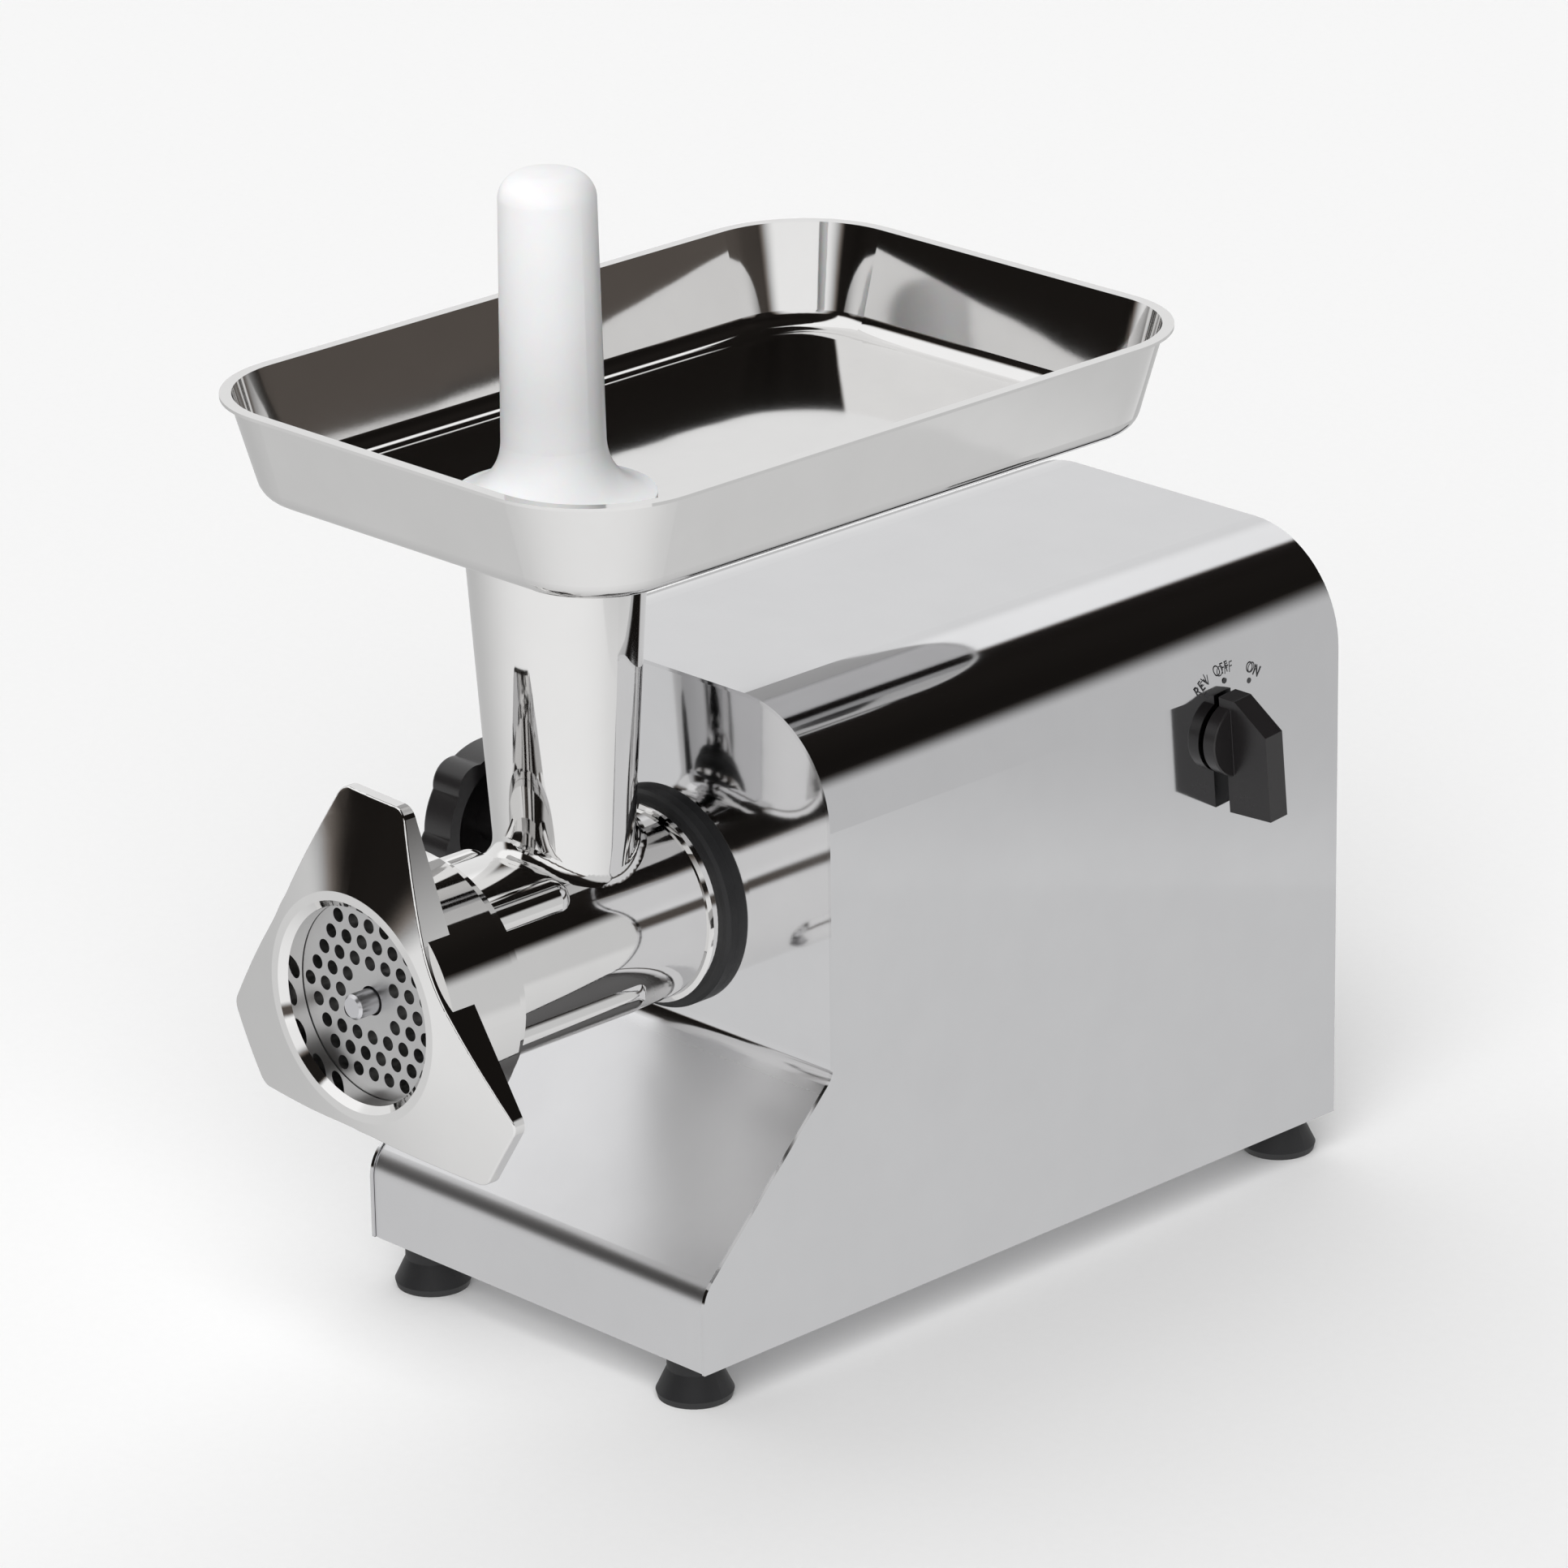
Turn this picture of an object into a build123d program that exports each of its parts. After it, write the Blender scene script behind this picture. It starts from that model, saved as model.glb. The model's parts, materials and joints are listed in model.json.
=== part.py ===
"""Electric meat grinder with a size 12 head, a steel housing, a feed tray and a geared motor.

Frame: Z up from the bench, X across with the switch on +X, Y from the ring nut (-Y) to the back (+Y).
The origin is on the bench, under the grinding axis, halfway along the overall length.
All sizes are in millimetres.
"""

import os
from math import acos, atan2, cos, degrees, hypot, pi, radians, sin, sqrt, tan

from build123d import *

# ---- Housing ----
BODY_WIDTH = 151.0
BODY_HEIGHT = 210.0  # bench to the top sheet
BODY_CORNER = 36.0  # outer bend between the top and each side
FOOT_HEIGHT = 14.5
SHEET = 1.2
REAR_DEPTH = 227.0  # front panel to the back edge
SHELF_REACH = 56.0  # front panel to the front lip
SHELF_DROP = 8.0  # underside of the barrel to the shelf's top bend
SHELF_BOTTOM = 40.2
SHELF_CORNER = 8.0
LIP_BEND = 13.0
COVER_RECESS = 0.6  # front and rear covers sit this far inside the wrap's edge
COVER_GAP = 0.15
FLANGE = 12.0
# ---- Feet ----
FOOT_SIDE_INSET = 16.0
FOOT_FRONT_INSET = 11.0
FOOT_REAR_INSET = 9.0
FOOT_RADIUS = 12.1
FOOT_NECK_RADIUS = 8.6
FOOT_SCREW_RADIUS = 2.5
FOOT_SCREW_HEAD = 4.6
# ---- Grinding head ----
AXIS_HEIGHT = 134.0
HEAD_REACH = 126.0  # ring nut face to the front panel
BARREL_RADIUS = 30.5
BARREL_BORE = 26.0
NECK_DEPTH = 40.0  # how far the barrel goes in behind the front panel
REAR_WALL = 10.0
MOUTH_DEPTH = 14.0
PLATE_RADIUS = 35.0
PLATE_THICKNESS = 5.0
PLATE_SETBACK = 8.0
PLATE_HOLE = 2.25
PLATE_RINGS = 4  # hexagonal rings of holes round the centre
PLATE_PITCH = (PLATE_RADIUS - 7.6) / PLATE_RINGS
PLATE_CENTRE_HOLE = 4.6
STUD_RADIUS = 4.0
THREAD_RADIUS = PLATE_RADIUS + 3.6
NUT_OPENING = PLATE_RADIUS - 4.0
NUT_HUB_RADIUS = PLATE_RADIUS + 7.0
NUT_TIP_RADIUS = 65.5
NUT_TIP_WIDTH = 27.0
NUT_FLANK = 39.5  # axis to the waist between two tips, before it is rounded
NUT_WAIST_ROUND = 100.0
NUT_EDGE_ROUND = 0.7
NUT_SWEEP = 9.5  # how far the front face falls back at the tips
NUT_THICKNESS = 12.5
NUT_COLLAR_LENGTH = 30.0
NUT_TURN = -2.5  # degrees that the tips are turned from upright when tight
KNIFE_THICKNESS = 6.0
KNIFE_RADIUS = PLATE_RADIUS - 2.5
AUGER_CORE = 11.0
AUGER_PITCH = 36.0
FLIGHT_THICKNESS = 5.0
JOURNAL_RADIUS = 12.0
GASKET_DEPTH = 4.5
GASKET_WIDTH = 4.5  # beyond the barrel
SEAT_WIDTH = 1.6  # polished step that holds the gasket, beyond the barrel
SEAT_LENGTH = 4.0
DRIVE_FLATS = 12.0  # across flats of the hexagonal drive end
# ---- Throat, tray and pusher ----
THROAT_SETBACK = 87.2  # ring nut face to the throat's axis
THROAT_TOP = 269.3
THROAT_TOP_RADIUS = 28.4
THROAT_TAPER = 0.0638  # radius lost for each millimetre down
THROAT_WALL = 3.0
TRAY_WIDTH = 184.4
TRAY_LENGTH = 266.5
TRAY_SETBACK = 148.5
TRAY_DEPTH = 33.0
TRAY_CORNER = 38.6
TRAY_SHEET = 1.0
TRAY_RIM = 2.6
TRAY_DRAFT = 9.4  # how far the walls lean out from floor to rim
TRAY_FLOOR_BEND = 8.0
FLOOR_PANEL_INSET = 24.0  # rim to the raised panel of the floor
FLOOR_PANEL_RISE = 0.6
SPIGOT_DEPTH = 12.0
SPIGOT_RADIUS = 24.1
PUSHER_TOP = 374.2
PUSHER_RADIUS = 15.0
PUSHER_FLANGE = 30.7
PUSHER_FOOT_RADIUS = 17.5
PUSHER_REACH = 80.0  # below the tray floor
# ---- Clamp knob and switch ----
CLAMP_SETBACK = 11.0  # behind the front panel
CLAMP_REACH = 17.0  # outside the side wall
CLAMP_RADIUS = 28.0
CLAMP_SCREW = 4.0
SWITCH_SETBACK = 175.0  # behind the front panel
SWITCH_HEIGHT = 158.7
SWITCH_REACH = 19.4
SWITCH_GAP = 1.0  # side wall to the knob
SWITCH_BODY = 28.0
SWITCH_BODY_DEPTH = 26.0
SPINDLE_RADIUS = 4.0
# ---- Drive ----
STAGE_1 = (12, 48, 1.0)  # pinion teeth, gear teeth, module
STAGE_2 = (14, 56, 1.25)
PRESSURE_ANGLE = 25.0
TOOTH_THINNING = 0.12
MOTOR_DROP = 34.0  # output axis to motor axis
MOTOR_SIZE = 96.0
STACK_LENGTH = 60.0
ROTOR_RADIUS = 27.0
MOTOR_SHAFT = 5.0
LAY_SHAFT = 6.0
OUTPUT_SHAFT = 11.5
OUTPUT_TAIL = 8.0
# ---- Fits ----
RUNNING = 0.06  # radial clearance of a turning fit
LOOSE = 0.3  # gap between pieces that must not touch
# ---- Mains inlet ----
INLET_FLANGE = 2.5
INLET_X = -44.0
INLET_HEIGHT = 50.0

# ---- Stations along Y, each measured back from the ring nut's face ----
ring_y = -(HEAD_REACH + REAR_DEPTH + INLET_FLANGE) / 2
panel_y = ring_y + HEAD_REACH
lip_y = panel_y - SHELF_REACH
shelf_top = AXIS_HEIGHT - BARREL_RADIUS - SHELF_DROP
back_y = panel_y + REAR_DEPTH
plate_y = ring_y + PLATE_SETBACK
knife_y = plate_y + PLATE_THICKNESS + LOOSE
auger_y = knife_y + KNIFE_THICKNESS
neck_end_y = panel_y + NECK_DEPTH
throat_y = ring_y + THROAT_SETBACK
tray_y = ring_y + TRAY_SETBACK
clamp_y = panel_y + CLAMP_SETBACK
switch_y = panel_y + SWITCH_SETBACK
cover_y = panel_y + COVER_RECESS
gasket_y = cover_y - GASKET_DEPTH
wall_x = BODY_WIDTH / 2
floor_z = FOOT_HEIGHT + 2 * SHEET  # top of the base plate
tray_z = THROAT_TOP + 0.2
pinion_1, wheel_1, module_1 = STAGE_1
pinion_2, wheel_2, module_2 = STAGE_2
centres_1 = module_1 * (pinion_1 + wheel_1) / 2
centres_2 = module_2 * (pinion_2 + wheel_2) / 2
motor_z = AXIS_HEIGHT - MOTOR_DROP
lay_z = AXIS_HEIGHT - (centres_2**2 - centres_1**2 + MOTOR_DROP**2) / (2 * MOTOR_DROP)
lay_x = sqrt(centres_2**2 - (AXIS_HEIGHT - lay_z) ** 2)
case_y = neck_end_y + 2.0
CASE_WALL = 7.0
CASE_SIDE = 5.0
wheel_2_y = case_y + 18.0
WHEEL_2_WIDTH = 12.0
wheel_1_y = wheel_2_y + WHEEL_2_WIDTH + 3.0
WHEEL_1_WIDTH = 8.0
cover_plate_y = wheel_1_y + WHEEL_1_WIDTH + 4.0
COVER_PLATE = 6.0
bell_y = cover_plate_y + COVER_PLATE + 1.0
BELL_DEPTH = 18.0
stack_y = bell_y + BELL_DEPTH
rear_bell_y = stack_y + STACK_LENGTH
motor_end_y = rear_bell_y + BELL_DEPTH
fan_y = motor_end_y + 3.0
FAN_DEPTH = 12.0
FAN_RADIUS = 38.0
CASE_FOOT = (100.0, 34.0, 7.0)
CASE_SCREW = 3.0
case_foot_y = case_y + 24.0
case_foot_places = [(i * 43.0, case_foot_y + j * 10.0) for i in (-1, 1) for j in (-1, 1)]
CAPACITOR_RADIUS = 14.0
CLIP_SHEET = 1.3
CLIP_SCREW = 1.6
capacitor_x = wall_x - SHEET - CAPACITOR_RADIUS - 12.0
capacitor_y = stack_y
capacitor_z = floor_z + CLIP_SHEET + 0.2 + CAPACITOR_RADIUS
clip_screw_place = (capacitor_x - CAPACITOR_RADIUS - 7.0, capacitor_y + 26.0)


def across(y, x=0.0, z=0.0):
    """A plane square to Y and drawn in X and Z; extruding by a minus length goes back, to +Y."""
    return Plane(origin=(x, y, z), x_dir=(1, 0, 0), z_dir=(0, -1, 0))


def beside(x, y=0.0, z=0.0):
    """A plane square to X and drawn in Y and Z; extruding goes to +X."""
    return Plane(origin=(x, y, z), x_dir=(0, 1, 0), z_dir=(1, 0, 0))


def rearward(x, y, z):
    """A plane that faces the back, +Y, for the heads of screws put in from behind."""
    return Plane(origin=(x, y, z), x_dir=(-1, 0, 0), z_dir=(0, 1, 0))


def turn_on_y(outline, x=0.0, z=AXIS_HEIGHT, mode=Mode.ADD):
    """Turn a closed outline of (y, radius) points about the line through (x, z) along Y."""
    with BuildSketch(beside(x, 0, z)) as profile:
        with BuildLine():
            Polyline(*outline, close=True)
        make_face()
    revolve(profile.sketch, axis=Axis((x, 0, z), (0, 1, 0)), mode=mode)


def tube(y, length, outer, inner=0.0, x=0.0, z=AXIS_HEIGHT, mode=Mode.ADD):
    """A round bar or ring along Y that starts at y."""
    with BuildSketch(across(y, x, z)) as profile:
        Circle(outer)
        if inner > 0:
            Circle(inner, mode=Mode.SUBTRACT)
    extrude(profile.sketch, amount=-length, mode=mode)


def screw(plane, places, shank, head, head_height, length):
    """Slotted pan head screws: each head stands up from the plane, and each shank goes into it."""
    with BuildSketch(plane) as heads:
        with Locations(*places):
            Circle(head)
    extrude(heads.sketch, amount=head_height)
    with BuildSketch(plane) as shanks:
        with Locations(*places):
            Circle(shank)
    extrude(shanks.sketch, amount=-length)
    with BuildSketch(plane.offset(head_height)) as slots:
        with Locations(*places):
            Rectangle(2 * head, head / 4)
    extrude(slots.sketch, amount=-head_height / 2, mode=Mode.SUBTRACT)


def drill(plane, places, radius, depth):
    """Round holes into the plane."""
    with BuildSketch(plane) as holes:
        with Locations(*places):
            Circle(radius)
    extrude(holes.sketch, amount=-depth, mode=Mode.SUBTRACT)


def arch(inset, low):
    """The body's section moved in by inset: straight sides from low, a flat top and round corners."""
    with BuildSketch() as face:
        with Locations((0, low)):
            size = (BODY_WIDTH - 2 * inset, BODY_HEIGHT - inset - low)
            Rectangle(*size, align=(Align.CENTER, Align.MIN))
        fillet(face.vertices().group_by(Axis.Y)[-1], BODY_CORNER - inset)
    return face.sketch


def front_path(inset):
    """Corners of the front's side view, top to bottom, for a surface moved in by inset."""
    lean = atan2(SHELF_REACH, shelf_top - SHELF_BOTTOM)
    drop = inset * tan(lean / 2)
    return [
        (panel_y + inset, BODY_HEIGHT),
        (panel_y + inset, shelf_top - drop),
        (lip_y + inset, SHELF_BOTTOM - drop),
        (lip_y + inset, FOOT_HEIGHT),
    ]


def soften_front(sketch, inset):
    """Round the shelf's two bends of a sketch in (Y, Z); both are offsets of the outer bends."""
    top, corner, lip, low = front_path(inset)
    fillet(sketch.vertices().sort_by_distance((*corner, 0))[0], SHELF_CORNER + inset)
    fillet(sketch.vertices().sort_by_distance((*lip, 0))[0], LIP_BEND - inset)


def gear_face(teeth, module, aim):
    """An involute gear's outline with the middle of one tooth at the angle aim, in degrees."""
    pitch = module * teeth / 2
    base = pitch * cos(radians(PRESSURE_ANGLE))
    root = pitch - 1.25 * module
    tip = pitch + module
    half_tooth = pi / (2 * teeth) - TOOTH_THINNING / (2 * pitch)
    half_at_base = half_tooth + tan(radians(PRESSURE_ANGLE)) - radians(PRESSURE_ANGLE)

    def half_angle(radius):
        roll = acos(min(1.0, base / radius))
        return half_at_base - (tan(roll) - roll)

    def at(radius, angle):
        return (radius * cos(angle), radius * sin(angle))

    start = max(root, base)
    steps = [start + (tip - start) * i / 3 for i in range(4)]
    with BuildSketch() as face:
        with BuildLine():
            for tooth in range(teeth):
                middle = radians(aim) + 2 * pi * tooth / teeth
                after = middle + 2 * pi / teeth
                rising = [at(r, middle - half_angle(r)) for r in steps]
                falling = [at(r, middle + half_angle(r)) for r in reversed(steps)]
                Spline(*rising)
                Line(rising[-1], falling[0])
                Spline(*falling)
                foot = at(root, middle + half_angle(start))
                next_foot = at(root, after - half_angle(start))
                next_rise = at(start, after - half_angle(start))
                if start > root:
                    Line(falling[-1], foot)
                    Line(foot, next_foot)
                    Line(next_foot, next_rise)
                else:
                    Line(falling[-1], next_rise)
        make_face()
    return face.sketch


# ================= Housing =================

body_outer = arch(0, FOOT_HEIGHT)
body_inner = arch(SHEET, FOOT_HEIGHT + SHEET)
cover_outline = arch(SHEET + COVER_GAP, FOOT_HEIGHT)
rear_outline = arch(SHEET + COVER_GAP, floor_z + COVER_GAP)
foot_places = [
    (side * (wall_x - FOOT_SIDE_INSET), y)
    for y in (lip_y + FOOT_FRONT_INSET, back_y - FOOT_REAR_INSET)
    for side in (-1, 1)
]
inlet_cut = (27.5, 20.5)
REAR_SCREW = 1.8
inlet_screw_places = [(INLET_X + side * 20.0, INLET_HEIGHT) for side in (-1, 1)]
rear_screw_places = [
    (side * (wall_x - 12.0), z) for z in (FOOT_HEIGHT + 18.0, BODY_HEIGHT - 46.0) for side in (-1, 1)
]
rear_tab_places = [(x * (wall_x - 9.5) / (wall_x - 12.0), z) for x, z in rear_screw_places]

with BuildPart() as housing_wrap:
    with BuildSketch(beside(-wall_x)) as side_view:
        with BuildLine():
            Polyline(*front_path(0), (back_y, FOOT_HEIGHT), (back_y, BODY_HEIGHT), close=True)
        make_face()
        soften_front(side_view, 0)
    extrude(amount=BODY_WIDTH)
    with BuildSketch(across(lip_y)):
        add(body_outer)
        add(body_inner, mode=Mode.SUBTRACT)
        with Locations((0, FOOT_HEIGHT)):
            gap = BODY_WIDTH - 2 * SHEET - 2 * FLANGE
            Rectangle(gap, SHEET, align=(Align.CENTER, Align.MIN), mode=Mode.SUBTRACT)
    extrude(amount=-(SHELF_REACH + REAR_DEPTH), mode=Mode.INTERSECT)
    with BuildSketch(across(lip_y)):
        with Locations((0, FOOT_HEIGHT)):
            Rectangle(BODY_WIDTH - 2 * SHEET, SHEET, align=(Align.CENTER, Align.MIN))
    extrude(amount=-(COVER_RECESS + SHEET + LOOSE), mode=Mode.SUBTRACT)
    with BuildSketch(across(back_y - COVER_RECESS - 2 * SHEET)):
        with Locations(*rear_tab_places):
            Rectangle(18.0, 14.0)
        with Locations(*rear_screw_places):
            Circle(REAR_SCREW + 0.02, mode=Mode.SUBTRACT)
    extrude(amount=-SHEET)
    drill(Plane.XY.offset(FOOT_HEIGHT + SHEET), foot_places, FOOT_SCREW_RADIUS + LOOSE, SHEET)
    drill(beside(wall_x), [(switch_y, SWITCH_HEIGHT)], SPINDLE_RADIUS + 2.5, SHEET)
    drill(beside(SHEET - wall_x), [(clamp_y, AXIS_HEIGHT)], CLAMP_SCREW + 4.0, SHEET)

with BuildPart() as front_cover:
    with BuildSketch(beside(-wall_x)) as side_view:
        outer_face = front_path(COVER_RECESS)
        inner_face = front_path(COVER_RECESS + SHEET)
        with BuildLine():
            Polyline(*outer_face, *reversed(inner_face), close=True)
        make_face()
        soften_front(side_view, COVER_RECESS)
        soften_front(side_view, COVER_RECESS + SHEET)
    extrude(amount=BODY_WIDTH)
    with BuildSketch(across(lip_y)):
        add(cover_outline)
    extrude(amount=-(SHELF_REACH + 3 * SHEET), mode=Mode.INTERSECT)
    drill(across(cover_y - 1.0), [(0, AXIS_HEIGHT)], BARREL_RADIUS + LOOSE, SHEET + 2.0)

with BuildPart() as rear_cover:
    with BuildSketch(across(back_y - COVER_RECESS - SHEET)):
        add(rear_outline)
        with Locations((INLET_X, INLET_HEIGHT)):
            Rectangle(*inlet_cut, mode=Mode.SUBTRACT)
        with Locations(*inlet_screw_places):
            Circle(1.7, mode=Mode.SUBTRACT)
        with Locations(*rear_screw_places):
            Circle(REAR_SCREW + 0.1, mode=Mode.SUBTRACT)
        for row in range(7):
            with Locations((0, motor_z - 24.0 + 8.0 * row)):
                SlotOverall(66.0, 3.2, mode=Mode.SUBTRACT)
    extrude(amount=-SHEET)

with BuildPart() as base_plate:
    base_front = lip_y + COVER_RECESS + SHEET + 2 * LOOSE
    base_back = back_y - LOOSE
    with BuildSketch(Plane.XY.offset(FOOT_HEIGHT + SHEET)):
        with Locations((0, base_front)):
            size = (BODY_WIDTH - 2 * SHEET - 2 * LOOSE, base_back - base_front)
            Rectangle(*size, align=(Align.CENTER, Align.MIN))
        with Locations(*foot_places):
            Circle(FOOT_SCREW_RADIUS + LOOSE, mode=Mode.SUBTRACT)
        with Locations(*case_foot_places):
            Circle(CASE_SCREW + 0.2, mode=Mode.SUBTRACT)
        with Locations(clip_screw_place):
            Circle(CLIP_SCREW + 0.2, mode=Mode.SUBTRACT)
        for row in range(6):
            with Locations((0, rear_bell_y - 50.0 + 8.0 * row)):
                SlotOverall(60.0, 3.2, mode=Mode.SUBTRACT)
    extrude(amount=SHEET)

with BuildPart() as feet:
    for foot_x, foot_y in foot_places:
        upright = Plane(origin=(foot_x, foot_y, 0), x_dir=(1, 0, 0), z_dir=(0, -1, 0))
        with BuildSketch(upright):
            with BuildLine():
                low = 1.2
                Polyline(
                    (FOOT_SCREW_RADIUS + LOOSE, FOOT_HEIGHT),
                    (FOOT_NECK_RADIUS, FOOT_HEIGHT),
                    (FOOT_NECK_RADIUS, FOOT_HEIGHT - 5.0),
                    (FOOT_RADIUS - 0.6, 3.4),
                    (FOOT_RADIUS, low + 1.0),
                    (FOOT_RADIUS - 0.6, 0),
                    (FOOT_SCREW_HEAD + 0.8, 0),
                    (FOOT_SCREW_HEAD + 0.8, 6.5),
                    (FOOT_SCREW_RADIUS + LOOSE, 6.5),
                    close=True,
                )
            make_face()
        revolve(axis=Axis((foot_x, foot_y, 0), (0, 0, 1)))

with BuildPart() as foot_screws:
    screw(Plane.XY.offset(6.5).rotated((180, 0, 0)), [(x, -y) for x, y in foot_places],
          FOOT_SCREW_RADIUS, FOOT_SCREW_HEAD, 3.0, FOOT_HEIGHT + 8.0 - 6.5)

with BuildPart() as foot_nuts:
    with BuildSketch(Plane.XY.offset(floor_z)):
        with Locations(*foot_places):
            RegularPolygon(4.0, 6, major_radius=False)
            Circle(FOOT_SCREW_RADIUS + 0.05, mode=Mode.SUBTRACT)
    extrude(amount=4.0)

# ================= Grinding head =================


def throat_radius(z):
    """Outer radius of the tapered throat at a height."""
    return THROAT_TOP_RADIUS - THROAT_TAPER * (THROAT_TOP - z)


def stand_throat(inset, low, high, mode):
    """A tapered round bar on the throat's axis, thinner than the throat by inset."""
    upright = Plane(origin=(0, throat_y, 0), x_dir=(1, 0, 0), z_dir=(0, -1, 0))
    with BuildSketch(upright) as profile:
        with BuildLine():
            Polyline(
                (0, low),
                (throat_radius(low) - inset, low),
                (throat_radius(high) - inset, high),
                (0, high),
                close=True,
            )
        make_face()
    revolve(profile.sketch, axis=Axis((0, throat_y, 0), (0, 0, 1)), mode=mode)


shoulder_y = ring_y + NUT_COLLAR_LENGTH + 5.0
mouth_y = ring_y + PLATE_SETBACK + 2.0
chamber_y = mouth_y + MOUTH_DEPTH
RIB_RADIUS = 6.5
RIBS = [(50.0, 70.5), (-33.0, 96.0), (130.0, 70.5), (213.0, 96.0)]  # angle, end from the ring face
THROAT_FILLET = 5.0

with BuildPart() as grinder_head:
    turn_on_y([
        (mouth_y, 0),
        (mouth_y, THREAD_RADIUS),
        (shoulder_y, THREAD_RADIUS),
        (shoulder_y + 5.0, BARREL_RADIUS),
        (gasket_y - SEAT_LENGTH, BARREL_RADIUS),
        (gasket_y - SEAT_LENGTH + 0.5, BARREL_RADIUS + SEAT_WIDTH),
        (gasket_y, BARREL_RADIUS + SEAT_WIDTH),
        (gasket_y, BARREL_RADIUS),
        (neck_end_y, BARREL_RADIUS),
        (neck_end_y, 0),
    ])
    stand_throat(0, AXIS_HEIGHT, THROAT_TOP, Mode.ADD)
    joint_line = grinder_head.edges().filter_by(GeomType.BSPLINE)
    fillet(joint_line, THROAT_FILLET)
    for angle, end in RIBS:
        off_axis = BARREL_RADIUS - 3.0
        rib_x = off_axis * cos(radians(angle))
        rib_z = AXIS_HEIGHT + off_axis * sin(radians(angle))
        rib_end = ring_y + end - RIB_RADIUS
        tube(shoulder_y, rib_end - shoulder_y, RIB_RADIUS, x=rib_x, z=rib_z)
        with Locations((rib_x, rib_end, rib_z)):
            Sphere(RIB_RADIUS)
    turn_on_y([
        (mouth_y, 0),
        (mouth_y, PLATE_RADIUS + 0.1),
        (chamber_y, PLATE_RADIUS + 0.1),
        (chamber_y + 6.0, BARREL_BORE),
        (neck_end_y - REAR_WALL, BARREL_BORE),
        (neck_end_y - REAR_WALL, JOURNAL_RADIUS + RUNNING),
        (neck_end_y, JOURNAL_RADIUS + RUNNING),
        (neck_end_y, 0),
    ], mode=Mode.SUBTRACT)
    stand_throat(THROAT_WALL, AXIS_HEIGHT, THROAT_TOP, Mode.SUBTRACT)

with BuildPart() as head_gasket:
    turn_on_y([
        (gasket_y, BARREL_RADIUS + 0.1),
        (gasket_y, BARREL_RADIUS + GASKET_WIDTH - 1.0),
        (gasket_y + 1.0, BARREL_RADIUS + GASKET_WIDTH),
        (cover_y, BARREL_RADIUS + GASKET_WIDTH),
        (cover_y, BARREL_RADIUS + 0.1),
    ])

with BuildPart() as ring_nut:
    with BuildSketch(across(ring_y, 0, AXIS_HEIGHT)) as blank:
        tip_half = NUT_TIP_WIDTH / 2
        with BuildLine():
            corners = []
            for tip in range(3):
                turn = 90.0 + NUT_TURN + 120.0 * tip
                for side in (-1, 1):
                    along = Vector(NUT_TIP_RADIUS, side * tip_half).rotate(Axis.Z, turn)
                    corners.append((along.X, along.Y))
                waist = Vector(NUT_FLANK, 0).rotate(Axis.Z, turn + 60.0)
                corners.append((waist.X, waist.Y))
            Polyline(*corners, close=True)
        make_face()
        by_radius = blank.vertices().sort_by(lambda v: hypot(v.X, v.Y))
        fillet(by_radius[3:], 5.0)
        by_radius = blank.vertices().sort_by(lambda v: hypot(v.X, v.Y))
        fillet(by_radius[:3], NUT_WAIST_ROUND)
    extrude(amount=-NUT_THICKNESS)
    rim = NUT_TIP_RADIUS + 4.0
    turn_on_y([
        (ring_y, 0),
        (ring_y, PLATE_RADIUS + 1.0),
        (ring_y + NUT_SWEEP, rim),
        (ring_y + NUT_THICKNESS, rim),
        (ring_y + NUT_THICKNESS, 0),
    ], mode=Mode.INTERSECT)
    front_cone = ring_nut.faces().filter_by(GeomType.CONE).sort_by(Axis.Y)[0]
    fillet(front_cone.outer_wire().edges(), NUT_EDGE_ROUND)
    tube(ring_y + 4.0, NUT_COLLAR_LENGTH - 4.0, NUT_HUB_RADIUS)
    turn_on_y([
        (ring_y, 0),
        (ring_y, NUT_OPENING + 2.2),
        (ring_y + 2.2, NUT_OPENING),
        (plate_y - LOOSE, NUT_OPENING),
        (plate_y - LOOSE, THREAD_RADIUS + RUNNING),
        (ring_y + NUT_COLLAR_LENGTH, THREAD_RADIUS + RUNNING),
        (ring_y + NUT_COLLAR_LENGTH, 0),
    ], mode=Mode.SUBTRACT)

hole_places = [
    (PLATE_PITCH * (column + row / 2), PLATE_PITCH * row * sqrt(3) / 2)
    for row in range(-PLATE_RINGS, PLATE_RINGS + 1)
    for column in range(-PLATE_RINGS, PLATE_RINGS + 1)
    if abs(column + row) <= PLATE_RINGS and max(abs(column), abs(row), abs(column + row)) > 1
]

with BuildPart() as cutting_plate:
    with BuildSketch(across(plate_y, 0, AXIS_HEIGHT)):
        Circle(PLATE_RADIUS)
        Circle(PLATE_CENTRE_HOLE, mode=Mode.SUBTRACT)
        with Locations(*hole_places):
            Circle(PLATE_HOLE, mode=Mode.SUBTRACT)
    extrude(amount=-PLATE_THICKNESS)

KNIFE_SQUARE = 12.0

with BuildPart() as cross_knife:
    with BuildSketch(across(knife_y, 0, AXIS_HEIGHT)):
        Circle(13.0)
        with PolarLocations(0, 4, 12.0):
            Polygon((0, -4.5), (KNIFE_RADIUS, -6.0), (KNIFE_RADIUS, 1.0), (0, 6.5), align=None)
        Rectangle(KNIFE_SQUARE + 0.2, KNIFE_SQUARE + 0.2, mode=Mode.SUBTRACT)
    extrude(amount=-KNIFE_THICKNESS)

flight_y = auger_y + 1.0
flight_end = neck_end_y - REAR_WALL - 4.0
flight_radius = BARREL_BORE - 0.5
DRIVE_LENGTH = 15.0

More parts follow.
